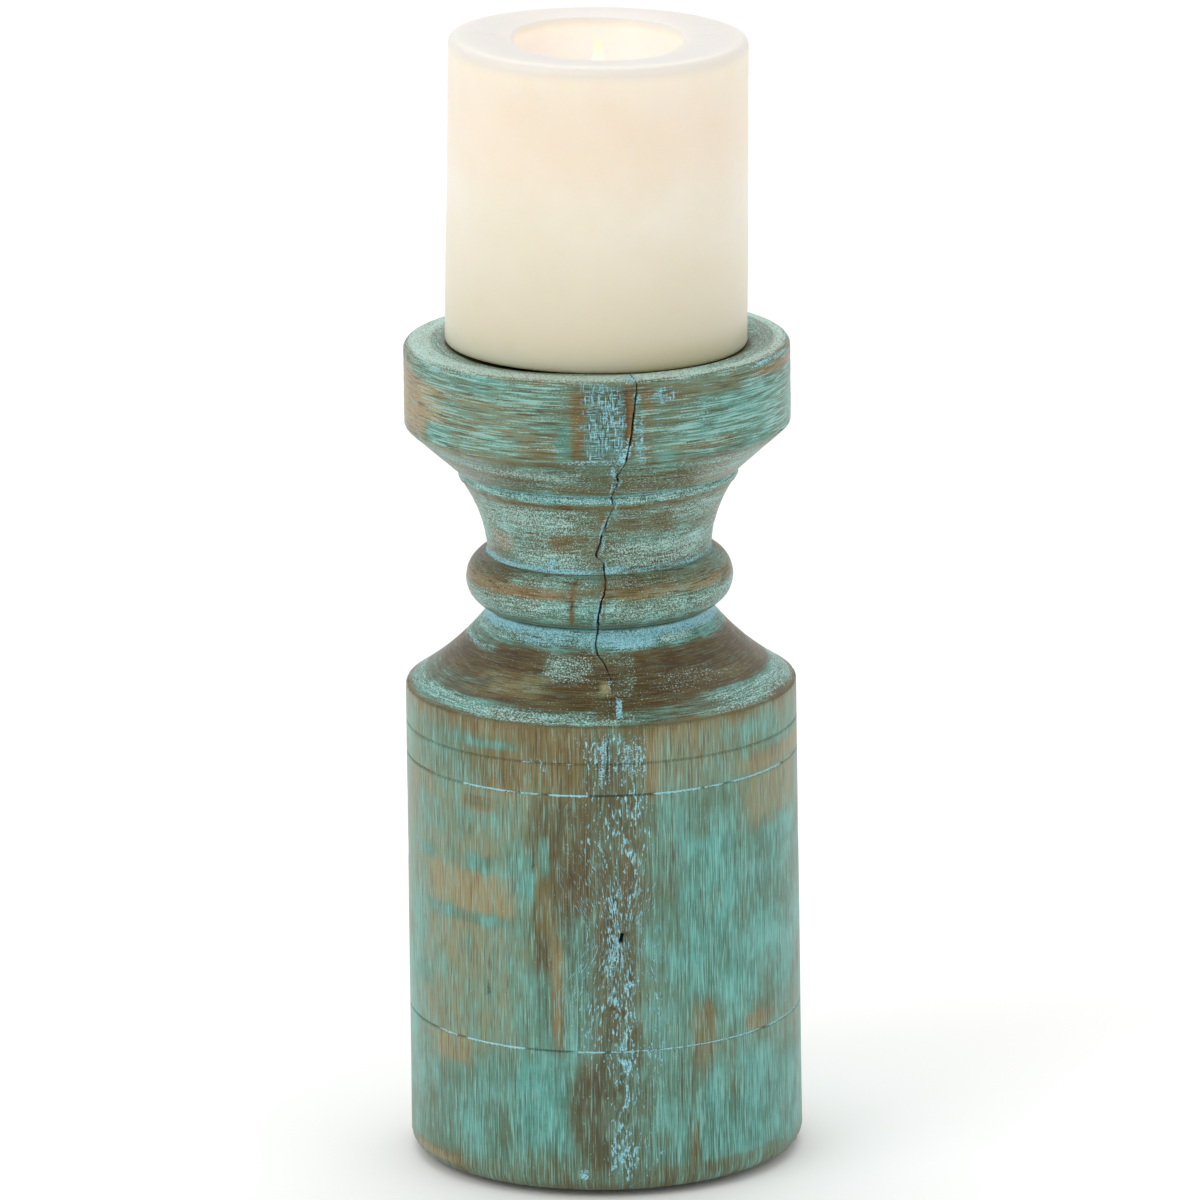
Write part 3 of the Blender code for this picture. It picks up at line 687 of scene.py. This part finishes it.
def grain_lines(g, layer, n, coat, ground):
    """Thin dark lines where the wood shows through, and thin light ones on its ridges."""
    dark = g.step(g.add(g.times(n.hair, 0.9), g.times(n.fine, 0.1)), 0.46, 0.36)
    coat = g.colours(g.times(dark, g.between(layer.granular, 0.54, 0.86)), coat, WOOD_DARK)
    light = g.step(g.add(n.thread, g.away(n.blotch, 0.2)), 0.54, 0.66)
    share = g.times(g.step(ground, 0.0, 0.9, 0.14, 0.62), g.between(layer.granular, 0.64, 1.0))
    return g.colours(g.times(light, share), coat, THREAD)


def dry_brushed(g, layer, n, coat):
    """Small bare pits on the turned parts, then pale paint in threads and grit.

    Gives the coat and how much of it the pale paint covers.
    """
    bare = g.times(g.step(n.grit, 0.46, 0.33), g.times(layer.granular, 0.80))
    coat = g.colours(bare, coat, WOOD_DARK)
    brush = g.between(layer.granular, n.thread, n.grit)
    dry = g.add(g.times(layer.pale, 0.57), g.away(brush, 3.3), g.away(n.broad, 0.6), g.away(n.fine, 0.3))
    share = g.times(g.step(dry, 0.32, 0.66), g.between(layer.granular, 0.32, 1.0))
    return g.colours(share, coat, g.colours(layer.granular, THREAD, PALE)), share


def thick_paint(g, layer, n, coat):
    """Bright paint in the creases and round the split. Gives the coat and its share."""
    thick = g.step(g.add(layer.blue, g.away(n.grit, 2.2), g.away(n.fine, 1.1)), 0.38, 0.80)
    return g.colours(g.times(thick, 0.88), coat, g.colours(g.step(n.grit, 0.40, 0.60), BLUE, ICE)), thick


def caught_paint(g, layer, n, coat, lathe):
    """Paint caught on the burl's short upright ridges, and in a fine weave on the cup."""
    burl = g.stretched(g.layer_vector("burl"), 2.2, 0.50)
    ridge = g.noise(burl, detail=2.0, roughness=0.6, distortion=0.4)
    caught = g.add(g.times(layer.flecks, 0.40), g.away(ridge, 2.2), g.away(n.patches, 0.8))
    upright = g.noise(g.stretched(lathe, 3.1, 0.34), detail=1.0)
    level = g.noise(g.stretched(lathe, 0.34, 3.1), detail=1.0)
    crossed = g.away(g.math("MAXIMUM", upright, level), 2.2)
    weave = g.add(g.times(layer.flecks, 0.23), crossed, g.away(n.patches, 0.4))
    raised = g.step(g.between(layer.round, caught, weave), 0.30, 0.48)
    raised = g.times(raised, g.step(layer.flecks, 0.02, 0.3))
    colour = g.colours(g.step(n.grit, 0.36, 0.60), BLUE, ICE)
    coat = g.colours(g.times(raised, 0.88), coat, colour)
    gaps = g.times(g.step(ridge, 0.46, 0.34), g.step(layer.flecks, 0.2, 0.9))
    return g.colours(g.times(gaps, 0.85), coat, WOOD_DARK), raised


def painted_wood():
    g = Graph("painted_wood")
    lathe = g.layer_vector("lathe")
    names = ("teal", "pale", "tan", "rust", "blue", "flecks", "dirt", "dash", "round", "granular")
    layer = SimpleNamespace(**{name: g.layer(name) for name in names})
    n = wood_noises(g, lathe, layer.round)

    coat = bare_wood(g, layer, n)
    coat, ground, cover = brushed_paint(g, layer, n, coat)
    coat = grain_lines(g, layer, n, coat, ground)
    coat, dry = dry_brushed(g, layer, n, coat)
    coat, thick = thick_paint(g, layer, n, coat)
    coat, raised = caught_paint(g, layer, n, coat, lathe)
    dashes = g.step(g.add(layer.dash, g.away(n.grit, 1.8)), 0.52, 0.74)
    coat = g.colours(dashes, coat, ICE)
    # near-black dirt, and painted shade in the creases, the crack, the knot hole and the dish
    grime_and_shade = g.step(g.add(layer.dirt, g.away(n.grit, 0.9), g.away(n.fine, 0.4)), 0.15, 0.95)
    coat = g.colours(g.times(grime_and_shade, 0.94), coat, SOOT_AND_SHADE)

    height = g.add(g.times(n.fine, 0.30), g.times(n.hair, 0.45), g.times(dry, 0.30),
                   g.times(raised, 0.8), g.times(thick, 0.4), g.times(cover, 0.15))
    roughness = g.add(g.between(dry, 0.36, 0.5), g.away(n.broad, 0.2), g.times(grime_and_shade, 0.3))
    return g.finish(Base_Color=coat, Roughness=roughness, Normal=g.bump(height, 0.20, 0.8),
                    Specular_IOR_Level=0.35)


# ------------------------ shape of the wood

TURNED_START = (123.0, 126.0)  # along, where the grain's streaks give way to the lathe's
CUP_WALL = (214.0, 235.0)
RIM_START, DISH_START = (235.0, 236.2), (242.0, 245.5)
CRACK_START, CRACK_END = (108.0, 112.0), (244.0, 246.5)
WORN_EDGES = (3.5, 124.2, 193.8, 214.2, 234.6)
WEAR_ALLOWANCE = 0.08  # keeps the ridges inside the plain turned shape


def fanned(unrolled, along):
    """Lathe coordinates whose upright lines spread out above and below the knot."""
    middle = KNOT[0] * DEGREE
    away = np.abs(along - KNOT[1])
    squeeze = np.clip(FAN_REACH / (away + FAN_REACH / 2.0), FAN_LEAST, FAN_MOST)
    spread = unrolled.copy()
    spread[..., 0] = middle + (unrolled[..., 0] - middle) * squeeze
    return spread


def ragged(along):
    """Sideways jitter of the crack at one place along it."""
    return noise.noise(Vector((0.0, 3.1, along * 0.7))) + 0.5 * noise.noise(Vector((4.2, 0.0, along * 2.1)))


def crack_angles(along_row, columns):
    """The angle of every point: near the front, the columns follow the crack."""
    jagged = np.array([ragged(s) for s in along_row]) * 0.7
    seam = follow(CRACK, along_row) + jagged * window(along_row, 118.0, 215.0, 6.0)
    sway = 1.0 - smooth_step(np.abs(columns), 8.0, CRACK_SWAY)
    angle = columns[None, :] + seam[:, None] * sway[None, :]
    return (angle + 180.0) % 360.0 - 180.0


def worn(radius, along, unrolled, turned_part, flecks):
    """The radius with lathe ridges, grain, dents, chipped edges and the burl's swelling."""
    outside = window(along, 2.0, 234.5, 1.2)
    squeeze = unrolled * np.array([0.05, 0.05, 1.0])
    ridges = noise_field(squeeze, 1.6, 3) * 0.10 * turned_part
    lengthwise = unrolled * np.array([1.0, 1.0, 0.06])
    furrows = noise_field(lengthwise, 2.6, 4) * 0.09 * (1.0 - turned_part)
    dents = -0.5 * smooth_step(noise_field(unrolled, 6.5, 5), 0.35, 0.7)
    edges = sum(window(along, at - 1.2, at + 1.2, 0.9) for at in WORN_EDGES)
    chips = -0.5 * edges * smooth_step(noise_field(unrolled, 3.2, 6), 0.1, 0.6)
    radius = radius + outside * (ridges + furrows + 0.25 * dents + chips - WEAR_ALLOWANCE)
    lumps = noise_field(unrolled * np.array([1.0, 1.0, 0.4]), 1.3, 7)
    return radius + outside * flecks * 0.16 * lumps


def split(offset, radius, along_row, along, unrolled):
    """The crack: a ragged V whose left lip stands a little proud.

    Gives how deep it cuts, how far the lip rises, its painted shade, darkest where it cuts deepest, and the
    paint on its edges.
    """
    across = np.abs(offset) * np.maximum(radius, 1.0) * pi / 180.0
    broken = follow(CRACK_SIZE, along_row, 3)[:, None]
    closed = 1.0 - smooth_step(noise_field(unrolled, 2.4, 9), -0.25, 0.25)
    depth = follow(CRACK_SIZE, along_row, 1)[:, None] * (1.0 - broken * closed)
    half = follow(CRACK_SIZE, along_row, 2)[:, None]
    half = half * np.clip(1.0 + 1.2 * noise_field(unrolled, 1.6, 8), 0.35, 1.9)
    gape = np.clip(1.0 - across / half, 0.0, 1.0)
    opening = smooth_step(along, *CRACK_START) * (1.0 - smooth_step(along, *CRACK_END))
    cut = depth * np.power(gape, 0.6) * opening
    lip = bell(across - half * 1.5, 0.45) * 0.16 * opening * (offset < 0)
    shadow = np.clip(depth, 0.0, 1.0)
    # painted shade in the split, darker where it is deeper
    dirt = np.clip(gape * 1.5 - 0.2, 0.0, 1.0) * opening * shadow
    edges = bell(across - 2.0 * half, 0.5) * opening * shadow
    paint = 0.75 * edges * smooth_step(noise_field(unrolled, 4.0, 10), -0.3, 0.3)
    return cut, lip, dirt, paint


def raised_dish(height, radius, angle, along):
    """The dish's floor comes up close under the leaning candle, least so at its left front."""
    sideways = radius * np.sin(np.radians(angle)) - CANDLE_X
    base = CANDLE_MIDDLE_Z - FOOT_Z - sideways * tan(radians(CANDLE_LEAN))
    clearance = DISH_CLEARANCE + DISH_GAP * window(angle, *DISH_GAP_ANGLES, 18.0)
    under = smooth_step(along, *DISH_START) * (radius > PAN_BED_RADIUS - 0.1)
    return height + np.clip(base - clearance - DISH_FLOOR[1], 0.0, None) * under


def knot_hole(angle, along, radius):
    """1 inside the slanting knot hole, 0 outside it."""
    knot_angle, knot_along, knot_half, knot_tall = KNOT
    sideways = (angle - knot_angle) * radius * pi / 180.0
    slant = sideways - 0.25 * (along - knot_along)
    knot = (slant / knot_half) ** 2 + ((along - knot_along) / knot_tall) ** 2
    return 1.0 - smooth_step(knot, 0.35, 1.3)


def mark_creases(layers, along):
    """Dirt and painted shade in the creases, and painted shade over the dish's floor under the candle."""
    for at, width, dark in CREASES:
        layers["dirt"] += dark * bell(along - at, width)
    layers["dirt"] += 0.75 * smooth_step(along, 245.0, 246.4)


def mark_scores(layers, angle, along, height):
    """Pale dashes of paint along the scores, and darker colour in them where there are none."""
    on_wall = along < TURNED_START[0]
    layers["dash"] = np.zeros(angle.shape)
    for number, low, high, value in SCORE_DASHES:
        in_score = bell(height - SCORES[number], 0.34) * on_wall
        layers["dash"] += value * in_score * window(angle, low, high, 0.8)
    for at, dark in zip(SCORES, SCORE_DARK):
        in_score = bell(height - at, 0.30) * on_wall
        layers["dirt"] += dark * in_score * np.clip(1.0 - 2.0 * layers["dash"], 0.0, 1.0)


def make_wood():
    outline = stand_outline()
    along_row = distances(outline)
    along_row -= along_row[np.argmax(outline[:, 0] > FOOT_RADIUS - FOOT_ROUNDING - 0.01)]
    columns = column_angles()
    offset, radius, height = spread_round(outline, columns)
    along = np.repeat(along_row[:, None], len(columns), axis=1)
    angle = crack_angles(along_row, columns)
    turn = np.radians(angle)
    unrolled = np.stack([REFERENCE_RADIUS * np.sin(turn), -REFERENCE_RADIUS * np.cos(turn), along], axis=-1)

    turned_part = smooth_step(along, *TURNED_START)
    layers = paint_layers(angle, along, unrolled, turned_part)
    radius = worn(radius, along, unrolled, turned_part, layers["flecks"])
    cut, lip, crack_shade, crack_paint = split(offset, radius, along_row, along, unrolled)
    on_rim = smooth_step(along, *RIM_START)
    radius = radius + (lip - cut) * (1.0 - on_rim)
    height = height - cut * on_rim
    height = raised_dish(height, radius, angle, along)
    hole = knot_hole(angle, along, radius)
    radius = radius - KNOT_DEPTH * hole

    # painted shade in the crack and in the knot hole
    layers["dirt"] += crack_shade + hole * 1.6
    layers["blue"] = np.maximum(layers["blue"], crack_paint)
    mark_creases(layers, along)
    mark_scores(layers, angle, along, height)
    layers["round"] = turned_part
    layers["granular"] = 0.85 * turned_part * (1.0 - 0.6 * window(along, *CUP_WALL, 2.0))
    layers["lathe"] = unrolled
    layers["burl"] = fanned(unrolled, along)

    radius = np.clip(radius, 0.0, LARGEST_RADIUS)
    radius[0] = 0.0
    radius[-1] = 0.0
    piece = turned_piece("painted_wood_body", radius, height + FOOT_Z, angle, layers)
    return settle(piece, "stand", "painted_wood", painted_wood(), "turned_wood_stand")


# ------------------------ candle

CANDLE_HEIGHT = 78.4
CANDLE_FOOT_RADIUS, CANDLE_TOP_RADIUS, CANDLE_FOOT_ROUNDING = 38.1, 37.6, 1.0
CROWN_RADIUS, CROWN_ROUNDING, CROWN_FRONT_DROP = 33.5, 2.4, 1.2
HOLLOW_RADIUS, HOLLOW_DROP, HOLLOW_BACK = 21.5, 1.3, 6.0
POOL_RADIUS, HOLLOW_DEPTH = 14.0, 27.0
FOLD_ANGLE, FOLD_WIDTH, FOLD_DEPTH = 94.0, 2.0, 0.30
TAB_POCKET_RADIUS, TAB_POCKET_HEIGHT, CHANNEL_RADIUS = 10.4, 7.5, 1.6
WAX_COLUMNS, FLAME_COLUMNS = 160, 32

IVORY, IVORY_SHADE = srgb(236, 230, 217), srgb(232, 224, 206)
# painted glow of the flame through the wax near the top
FLAME_LIT_WAX = srgb(238, 219, 196)
# painted shade, darker towards the foot
SHADED_FOOT_WAX = srgb(214, 206, 182)
# stains, with painted shade at the base edge and in the folds
STAINED_AND_SHADED_WAX = srgb(196, 182, 128)
# painted shade on the crown's up-facing top
SHADED_CROWN_WAX = srgb(215, 212, 207)
# painted light: the hollow's wax is paler and glows where the flame lights it
LIT_HOLLOW_WAX = srgb(243, 236, 226)
HOLLOW_GLOW = srgb(206, 224, 255)
HOLLOW_GLOW_STRENGTH = 0.05

FLAME_FOOT, FLAME_TOP, FLAME_WIDTH = CANDLE_HEIGHT - 20.5, CANDLE_HEIGHT - 1.0, 3.1
GLOW_HEIGHT, GLOW_RADIUS, GLOW_POWER = CANDLE_HEIGHT - 12.0, 3.0, 0.003


def candle_frame():
    """Matrix from the candle's own upright metres to the leaning candle on its cup."""
    lean = Matrix.Rotation(radians(CANDLE_LEAN), 4, "Y")
    return Matrix.Translation((CANDLE_X * MM, 0.0, CANDLE_MIDDLE_Z * MM)) @ lean


def wax_outline():
    """(radius, height) from the wick's channel out under the base, up and into the hollow."""
    foot_centre = (CANDLE_FOOT_RADIUS - CANDLE_FOOT_ROUNDING, CANDLE_FOOT_ROUNDING)
    foot = arc(foot_centre, CANDLE_FOOT_ROUNDING, -90, 0, 5)
    corner_centre = (CANDLE_TOP_RADIUS - CROWN_ROUNDING, CANDLE_HEIGHT - CROWN_ROUNDING)
    corner = arc(corner_centre, CROWN_ROUNDING, 0, 82, 8)
    crown = (CROWN_RADIUS, CANDLE_HEIGHT)
    lip = (HOLLOW_RADIUS, CANDLE_HEIGHT - HOLLOW_DROP)
    floor = (POOL_RADIUS, CANDLE_HEIGHT - HOLLOW_DEPTH)
    pocket = (TAB_POCKET_RADIUS, TAB_POCKET_HEIGHT - 0.1)
    points = [(CHANNEL_RADIUS, TAB_POCKET_HEIGHT), pocket, (TAB_POCKET_RADIUS, 0.0)] + foot
    points += line(foot[-1], corner[0], 60)[:-1] + corner + [crown]
    points += bowed(crown, lip, 0.35, 12)
    points += bowed(lip, floor, -3.2, 24)
    points += bowed(floor, (CHANNEL_RADIUS - 0.1, floor[1] - 0.4), -0.8, 8)
    return np.array(points)


def wax_material():
    g = Graph("ivory_wax")
    place = g.place()
    cloud = g.noise(place, scale=38.0, detail=4.0, roughness=0.6)
    mottle = g.noise(place, scale=160.0, detail=3.0, roughness=0.6)
    colour = g.colours(g.step(cloud, 0.3, 0.7), IVORY, IVORY_SHADE)
    # painted glow of the flame through the wax
    colour = g.colours(g.layer("painted_glow"), colour, FLAME_LIT_WAX)
    # painted shade, darker towards the foot
    colour = g.colours(g.layer("foot"), colour, SHADED_FOOT_WAX)
    # stains, with painted shade at the base edge and in the folds
    colour = g.colours(g.layer("stain_and_shade"), colour, STAINED_AND_SHADED_WAX)
    # painted shade on the crown's up-facing top
    colour = g.colours(g.layer("crown"), colour, SHADED_CROWN_WAX)
    # painted light: the hollow paler and glowing where the flame lights it
    colour = g.colours(g.layer("hollow"), colour, LIT_HOLLOW_WAX)
    height = g.add(g.times(cloud, 0.6), g.times(mottle, 0.25))
    glow = g.times(g.layer("lit"), HOLLOW_GLOW_STRENGTH)
    return g.finish(Base_Color=colour, Roughness=g.add(0.40, g.away(mottle, 0.15)),
                    Subsurface_Weight=0.85, Subsurface_Radius=(1.0, 0.72, 0.45), Subsurface_Scale=0.010,
                    Emission_Color=HOLLOW_GLOW, Emission_Strength=glow, Normal=g.bump(height, 0.25, 0.5))


def burned_down(radius, height, angle):
    """Moves the wax where it has melted and worn.

    Gives the new radius and height, and the layers that follow the shape, painted light and shade among
    them.
    """
    turn = np.radians(angle)
    points = np.stack([radius * np.sin(turn), -radius * np.cos(turn), height], axis=-1)
    inwards = np.clip((CROWN_RADIUS - radius) / (CROWN_RADIUS - HOLLOW_RADIUS), 0.0, 1.0)
    near_top = smooth_step(height, CANDLE_HEIGHT - 13.0, CANDLE_HEIGHT - HOLLOW_DROP)
    on_crown = radius > HOLLOW_RADIUS - 0.5
    # painted shade: the crown's up-facing top gets a greyer colour
    crown = smooth_step(height, CANDLE_HEIGHT - 5.0, CANDLE_HEIGHT - 0.5) * on_crown
    below_lip = CANDLE_HEIGHT - HOLLOW_DROP - height
    hollow = (radius < CROWN_RADIUS) * smooth_step(below_lip, 0.0, 2.4) * smooth_step(height, 20.0, 40.0)

    # the flame has melted the hollow further towards the back, and the sides are uneven
    outer = smooth_step(height, 0.5, 4.0) * (radius > TAB_POCKET_RADIUS + 0.6)
    radius = radius + HOLLOW_BACK * inwards * near_top * smooth_step(np.abs(angle), 95.0, 170.0)
    wobble = noise_field(points, 24.0, 11) * 0.22 + noise_field(points, 8.0, 12) * 0.07
    pits = smooth_step(noise_field(points, 2.6, 13), 0.52, 0.75) * -0.25
    radius = radius + outer * (wobble + pits)

    # the crown sinks at the front and has a fold at each end of the hollow
    on_top = smooth_step(height, CANDLE_HEIGHT - 5.0, CANDLE_HEIGHT - 1.0)
    height = height + on_top * 0.18 * noise_field(points, 16.0, 14)
    height = height - CROWN_FRONT_DROP * near_top * smooth_step(np.cos(turn), 0.0, 1.0)
    fold = bell(np.abs(angle) - FOLD_ANGLE, FOLD_WIDTH) * window(radius, 24.0, 31.5, 2.0) * on_top
    height = height - FOLD_DEPTH * fold

    # random stains, a darker patch low on the right front, and painted shade at the bottom edge, where the
    # candle meets the dish, and in the folds
    smudges = smooth_step(noise_field(points, 5.0, 15), 0.25, 0.6) * window(height, 4.0, 16.0, 4.0)
    base_edge = 1.0 - smooth_step(height, 0.4, 3.0)
    low_right = window(angle, 14.0, 58.0, 16.0) * (1.0 - smooth_step(height, 2.0, 9.0))
    stains_and_shade = (0.3 * base_edge + 0.34 * low_right + 0.10 * smudges) * (radius > 30.0)
    # painted glow: a warm band under the top, where the flame shines through
    painted_glow = window(height, CANDLE_HEIGHT - 32.0, CANDLE_HEIGHT - 10.0, 9.0)
    layers = {
        "painted_glow": 0.42 * painted_glow * (radius > HOLLOW_RADIUS + 3.0),
        "stain_and_shade": stains_and_shade + 0.25 * fold,
        # painted shade towards the foot
        "foot": 1.0 - smooth_step(height, 0.0, 48.0),
        "crown": crown,
        # painted light in the hollow, where the flame lights it
        "hollow": hollow,
        "lit": hollow * smooth_step(height, CANDLE_HEIGHT - 20.0, CANDLE_HEIGHT - 9.0),
    }
    return radius, height, layers


def make_wax():
    angle, radius, height = spread_round(wax_outline(), even_columns(WAX_COLUMNS))
    radius, height, layers = burned_down(radius, height, angle)
    piece = turned_piece("pillar_candle", radius, height, angle, layers)
    piece.data.flip_normals()
    piece.data.transform(candle_frame())
    return settle(piece, "candle", "ivory_wax", wax_material(), "pillar_wax")


def flame_material():
    g = Graph("flame")
    rise = g.layer("rise")
    colour = g.colours(g.step(rise, 0.1, 0.45), srgb(255, 226, 170), srgb(255, 252, 228))
    colour = g.colours(g.step(rise, 0.7, 1.0), colour, srgb(255, 244, 196))
    return g.finish(Base_Color=(0.0, 0.0, 0.0, 1.0), Roughness=1.0, Specular_IOR_Level=0.0,
                    Emission_Color=colour, Emission_Strength=g.step(rise, 0.0, 0.4, 0.85, 1.15))


def make_flame():
    """A teardrop of light over the wick."""
    rise = np.linspace(0.0, 1.0, 25)
    swell = FLAME_WIDTH * 1.9 * np.sqrt(rise) * np.power(1.0 - rise, 0.9)
    swell[0] = swell[-1] = 0.0
    outline = np.stack([swell, FLAME_FOOT + rise * (FLAME_TOP - FLAME_FOOT)], axis=-1)
    angle, radius, height = spread_round(outline, even_columns(FLAME_COLUMNS))
    layers = {"rise": np.repeat(rise[:, None], FLAME_COLUMNS, axis=1)}
    piece = turned_piece("candle_flame", radius, height, angle, layers)
    piece.data.transform(candle_frame())
    return settle(piece, "candle", "ivory_wax", flame_material())


def make_glow():
    """The flame's light on the inside of the hollow."""
    light = bpy.data.lights.new("flame_glow", "POINT")
    light.energy = GLOW_POWER
    light.color = (1.0, 0.92, 0.82)
    light.shadow_soft_size = GLOW_RADIUS * MM
    glow = put_in_scene("flame_glow", light)
    glow.location = candle_frame() @ Vector((0.0, 0.0, GLOW_HEIGHT * MM))
    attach(glow, "candle")


# ------------------------ small pieces

def plain_metal(name, colour, roughness, scratch_scale):
    g = Graph(name)
    place = g.place()
    rings = g.noise(g.stretched(place, 300.0, 40.0), detail=3.0)
    spots = g.noise(place, scale=scratch_scale, detail=4.0, roughness=0.65)
    tone = g.colours(g.step(spots, 0.35, 0.75), colour, tuple(0.55 * c for c in colour[:3]) + (1.0,))
    return g.finish(Base_Color=tone, Metallic=1.0, Roughness=g.add(roughness, g.away(spots, 0.3)),
                    Normal=g.bump(g.add(rings, spots), 0.03, 0.5))


def felt_material():
    g = Graph("brown_felt")
    place = g.place()
    fibre = g.noise(place, scale=2600.0, detail=3.0, roughness=0.7, distortion=1.0)
    colour = g.colours(g.step(fibre, 0.35, 0.65), srgb(62, 48, 36), srgb(96, 78, 60))
    return g.finish(Base_Color=colour, Roughness=0.95, Normal=g.bump(fibre, 0.25, 0.9),
                    Sheen_Weight=0.3)


def wick_material():
    g = Graph("charred_cotton")
    place = g.place()
    fibre = g.noise(g.stretched(place, 2200.0, 900.0), detail=3.0)
    colour = g.colours(g.step(fibre, 0.4, 0.7), srgb(24, 20, 17), srgb(66, 52, 42))
    return g.finish(Base_Color=colour, Roughness=0.9, Normal=g.bump(fibre, 0.2, 0.8))


def finish_small_nodes():
    looks = {
        "drip_pan": plain_metal("blackened_steel", srgb(52, 50, 47), 0.45, 220.0),
        "pan_screw": plain_metal("zinc_screw", srgb(176, 170, 152), 0.32, 700.0),
        "wick_tab": plain_metal("tin_plate", srgb(188, 188, 184), 0.28, 400.0),
        "wick": wick_material(),
    }
    felt = felt_material()
    for number in range(1, 5):
        looks[f"felt_pad_{number}"] = felt
    for node, material in looks.items():
        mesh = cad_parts[node].data
        mesh.materials.clear()
        mesh.materials.append(material)


# ------------------------ studio

CAMERA_PLACE = (0.0, -2.3712, 0.7543)
CAMERA_PITCH, CAMERA_ROLL = 14.456, -0.768
CAMERA_LENS, CAMERA_SENSOR = 289.95, 36.0
FLOOR_HALF, FLOOR_LEVEL, FLOOR_COLOUR = 60.0, -0.0002, (0.92, 0.92, 0.91, 1.0)
LIGHT_TARGET = (0.0, 0.0, 0.14)
# name, place, size and power of the soft square lights
PANELS = (
    ("key_light", (-1.5, -1.3, 1.5), 1.4, 13.4),
    ("fill_light", (1.7, -1.2, 1.2), 1.4, 4.6),
    ("top_light", (0.0, 1.2, 2.6), 2.6, 30.0),
)
WORLD_STRENGTH = 0.80


def make_camera():
    data = bpy.data.cameras.new("camera")
    data.sensor_width = CAMERA_SENSOR
    data.lens = CAMERA_LENS
    data.clip_end = 200.0
    camera = put_in_scene("camera", data)
    tilt = Matrix.Rotation(radians(90.0 - CAMERA_PITCH), 4, "X")
    roll = Matrix.Rotation(radians(CAMERA_ROLL), 4, "Z")
    camera.matrix_world = Matrix.Translation(CAMERA_PLACE) @ tilt @ roll
    bpy.context.scene.camera = camera


def make_floor():
    mesh = bpy.data.meshes.new("studio_floor")
    signs = ((-1, -1), (1, -1), (1, 1), (-1, 1))
    corners = [(x * FLOOR_HALF, y * FLOOR_HALF, FLOOR_LEVEL) for x, y in signs]
    mesh.from_pydata(corners, [], [(0, 1, 2, 3)])
    mesh.materials.append(Graph("studio_floor").finish(Base_Color=FLOOR_COLOUR, Roughness=0.9))
    floor = put_in_scene("studio_floor", mesh)


def make_panel(name, place, size, power):
    """A soft square light that faces the candlestick."""
    data = bpy.data.lights.new(name, "AREA")
    data.shape = "SQUARE"
    data.size = size
    data.energy = power
    panel = put_in_scene(name, data)
    panel.location = place
    panel.rotation_euler = (Vector(LIGHT_TARGET) - Vector(place)).to_track_quat("-Z", "Y").to_euler()
    panel.visible_camera = False


def make_lights():
    world = bpy.data.worlds.new("studio")
    world.use_nodes = True
    background = world.node_tree.nodes["Background"]
    background.inputs["Color"].default_value = (1.0, 1.0, 1.0, 1.0)
    background.inputs["Strength"].default_value = WORLD_STRENGTH
    bpy.context.scene.world = world
    for panel in PANELS:
        make_panel(*panel)


# ------------------------ the whole scene

def main():
    bpy.context.scene.view_settings.view_transform = "Standard"
    make_camera()
    make_lights()
    make_floor()
    make_wood()
    make_wax()
    make_flame()
    make_glow()
    finish_small_nodes()


main()
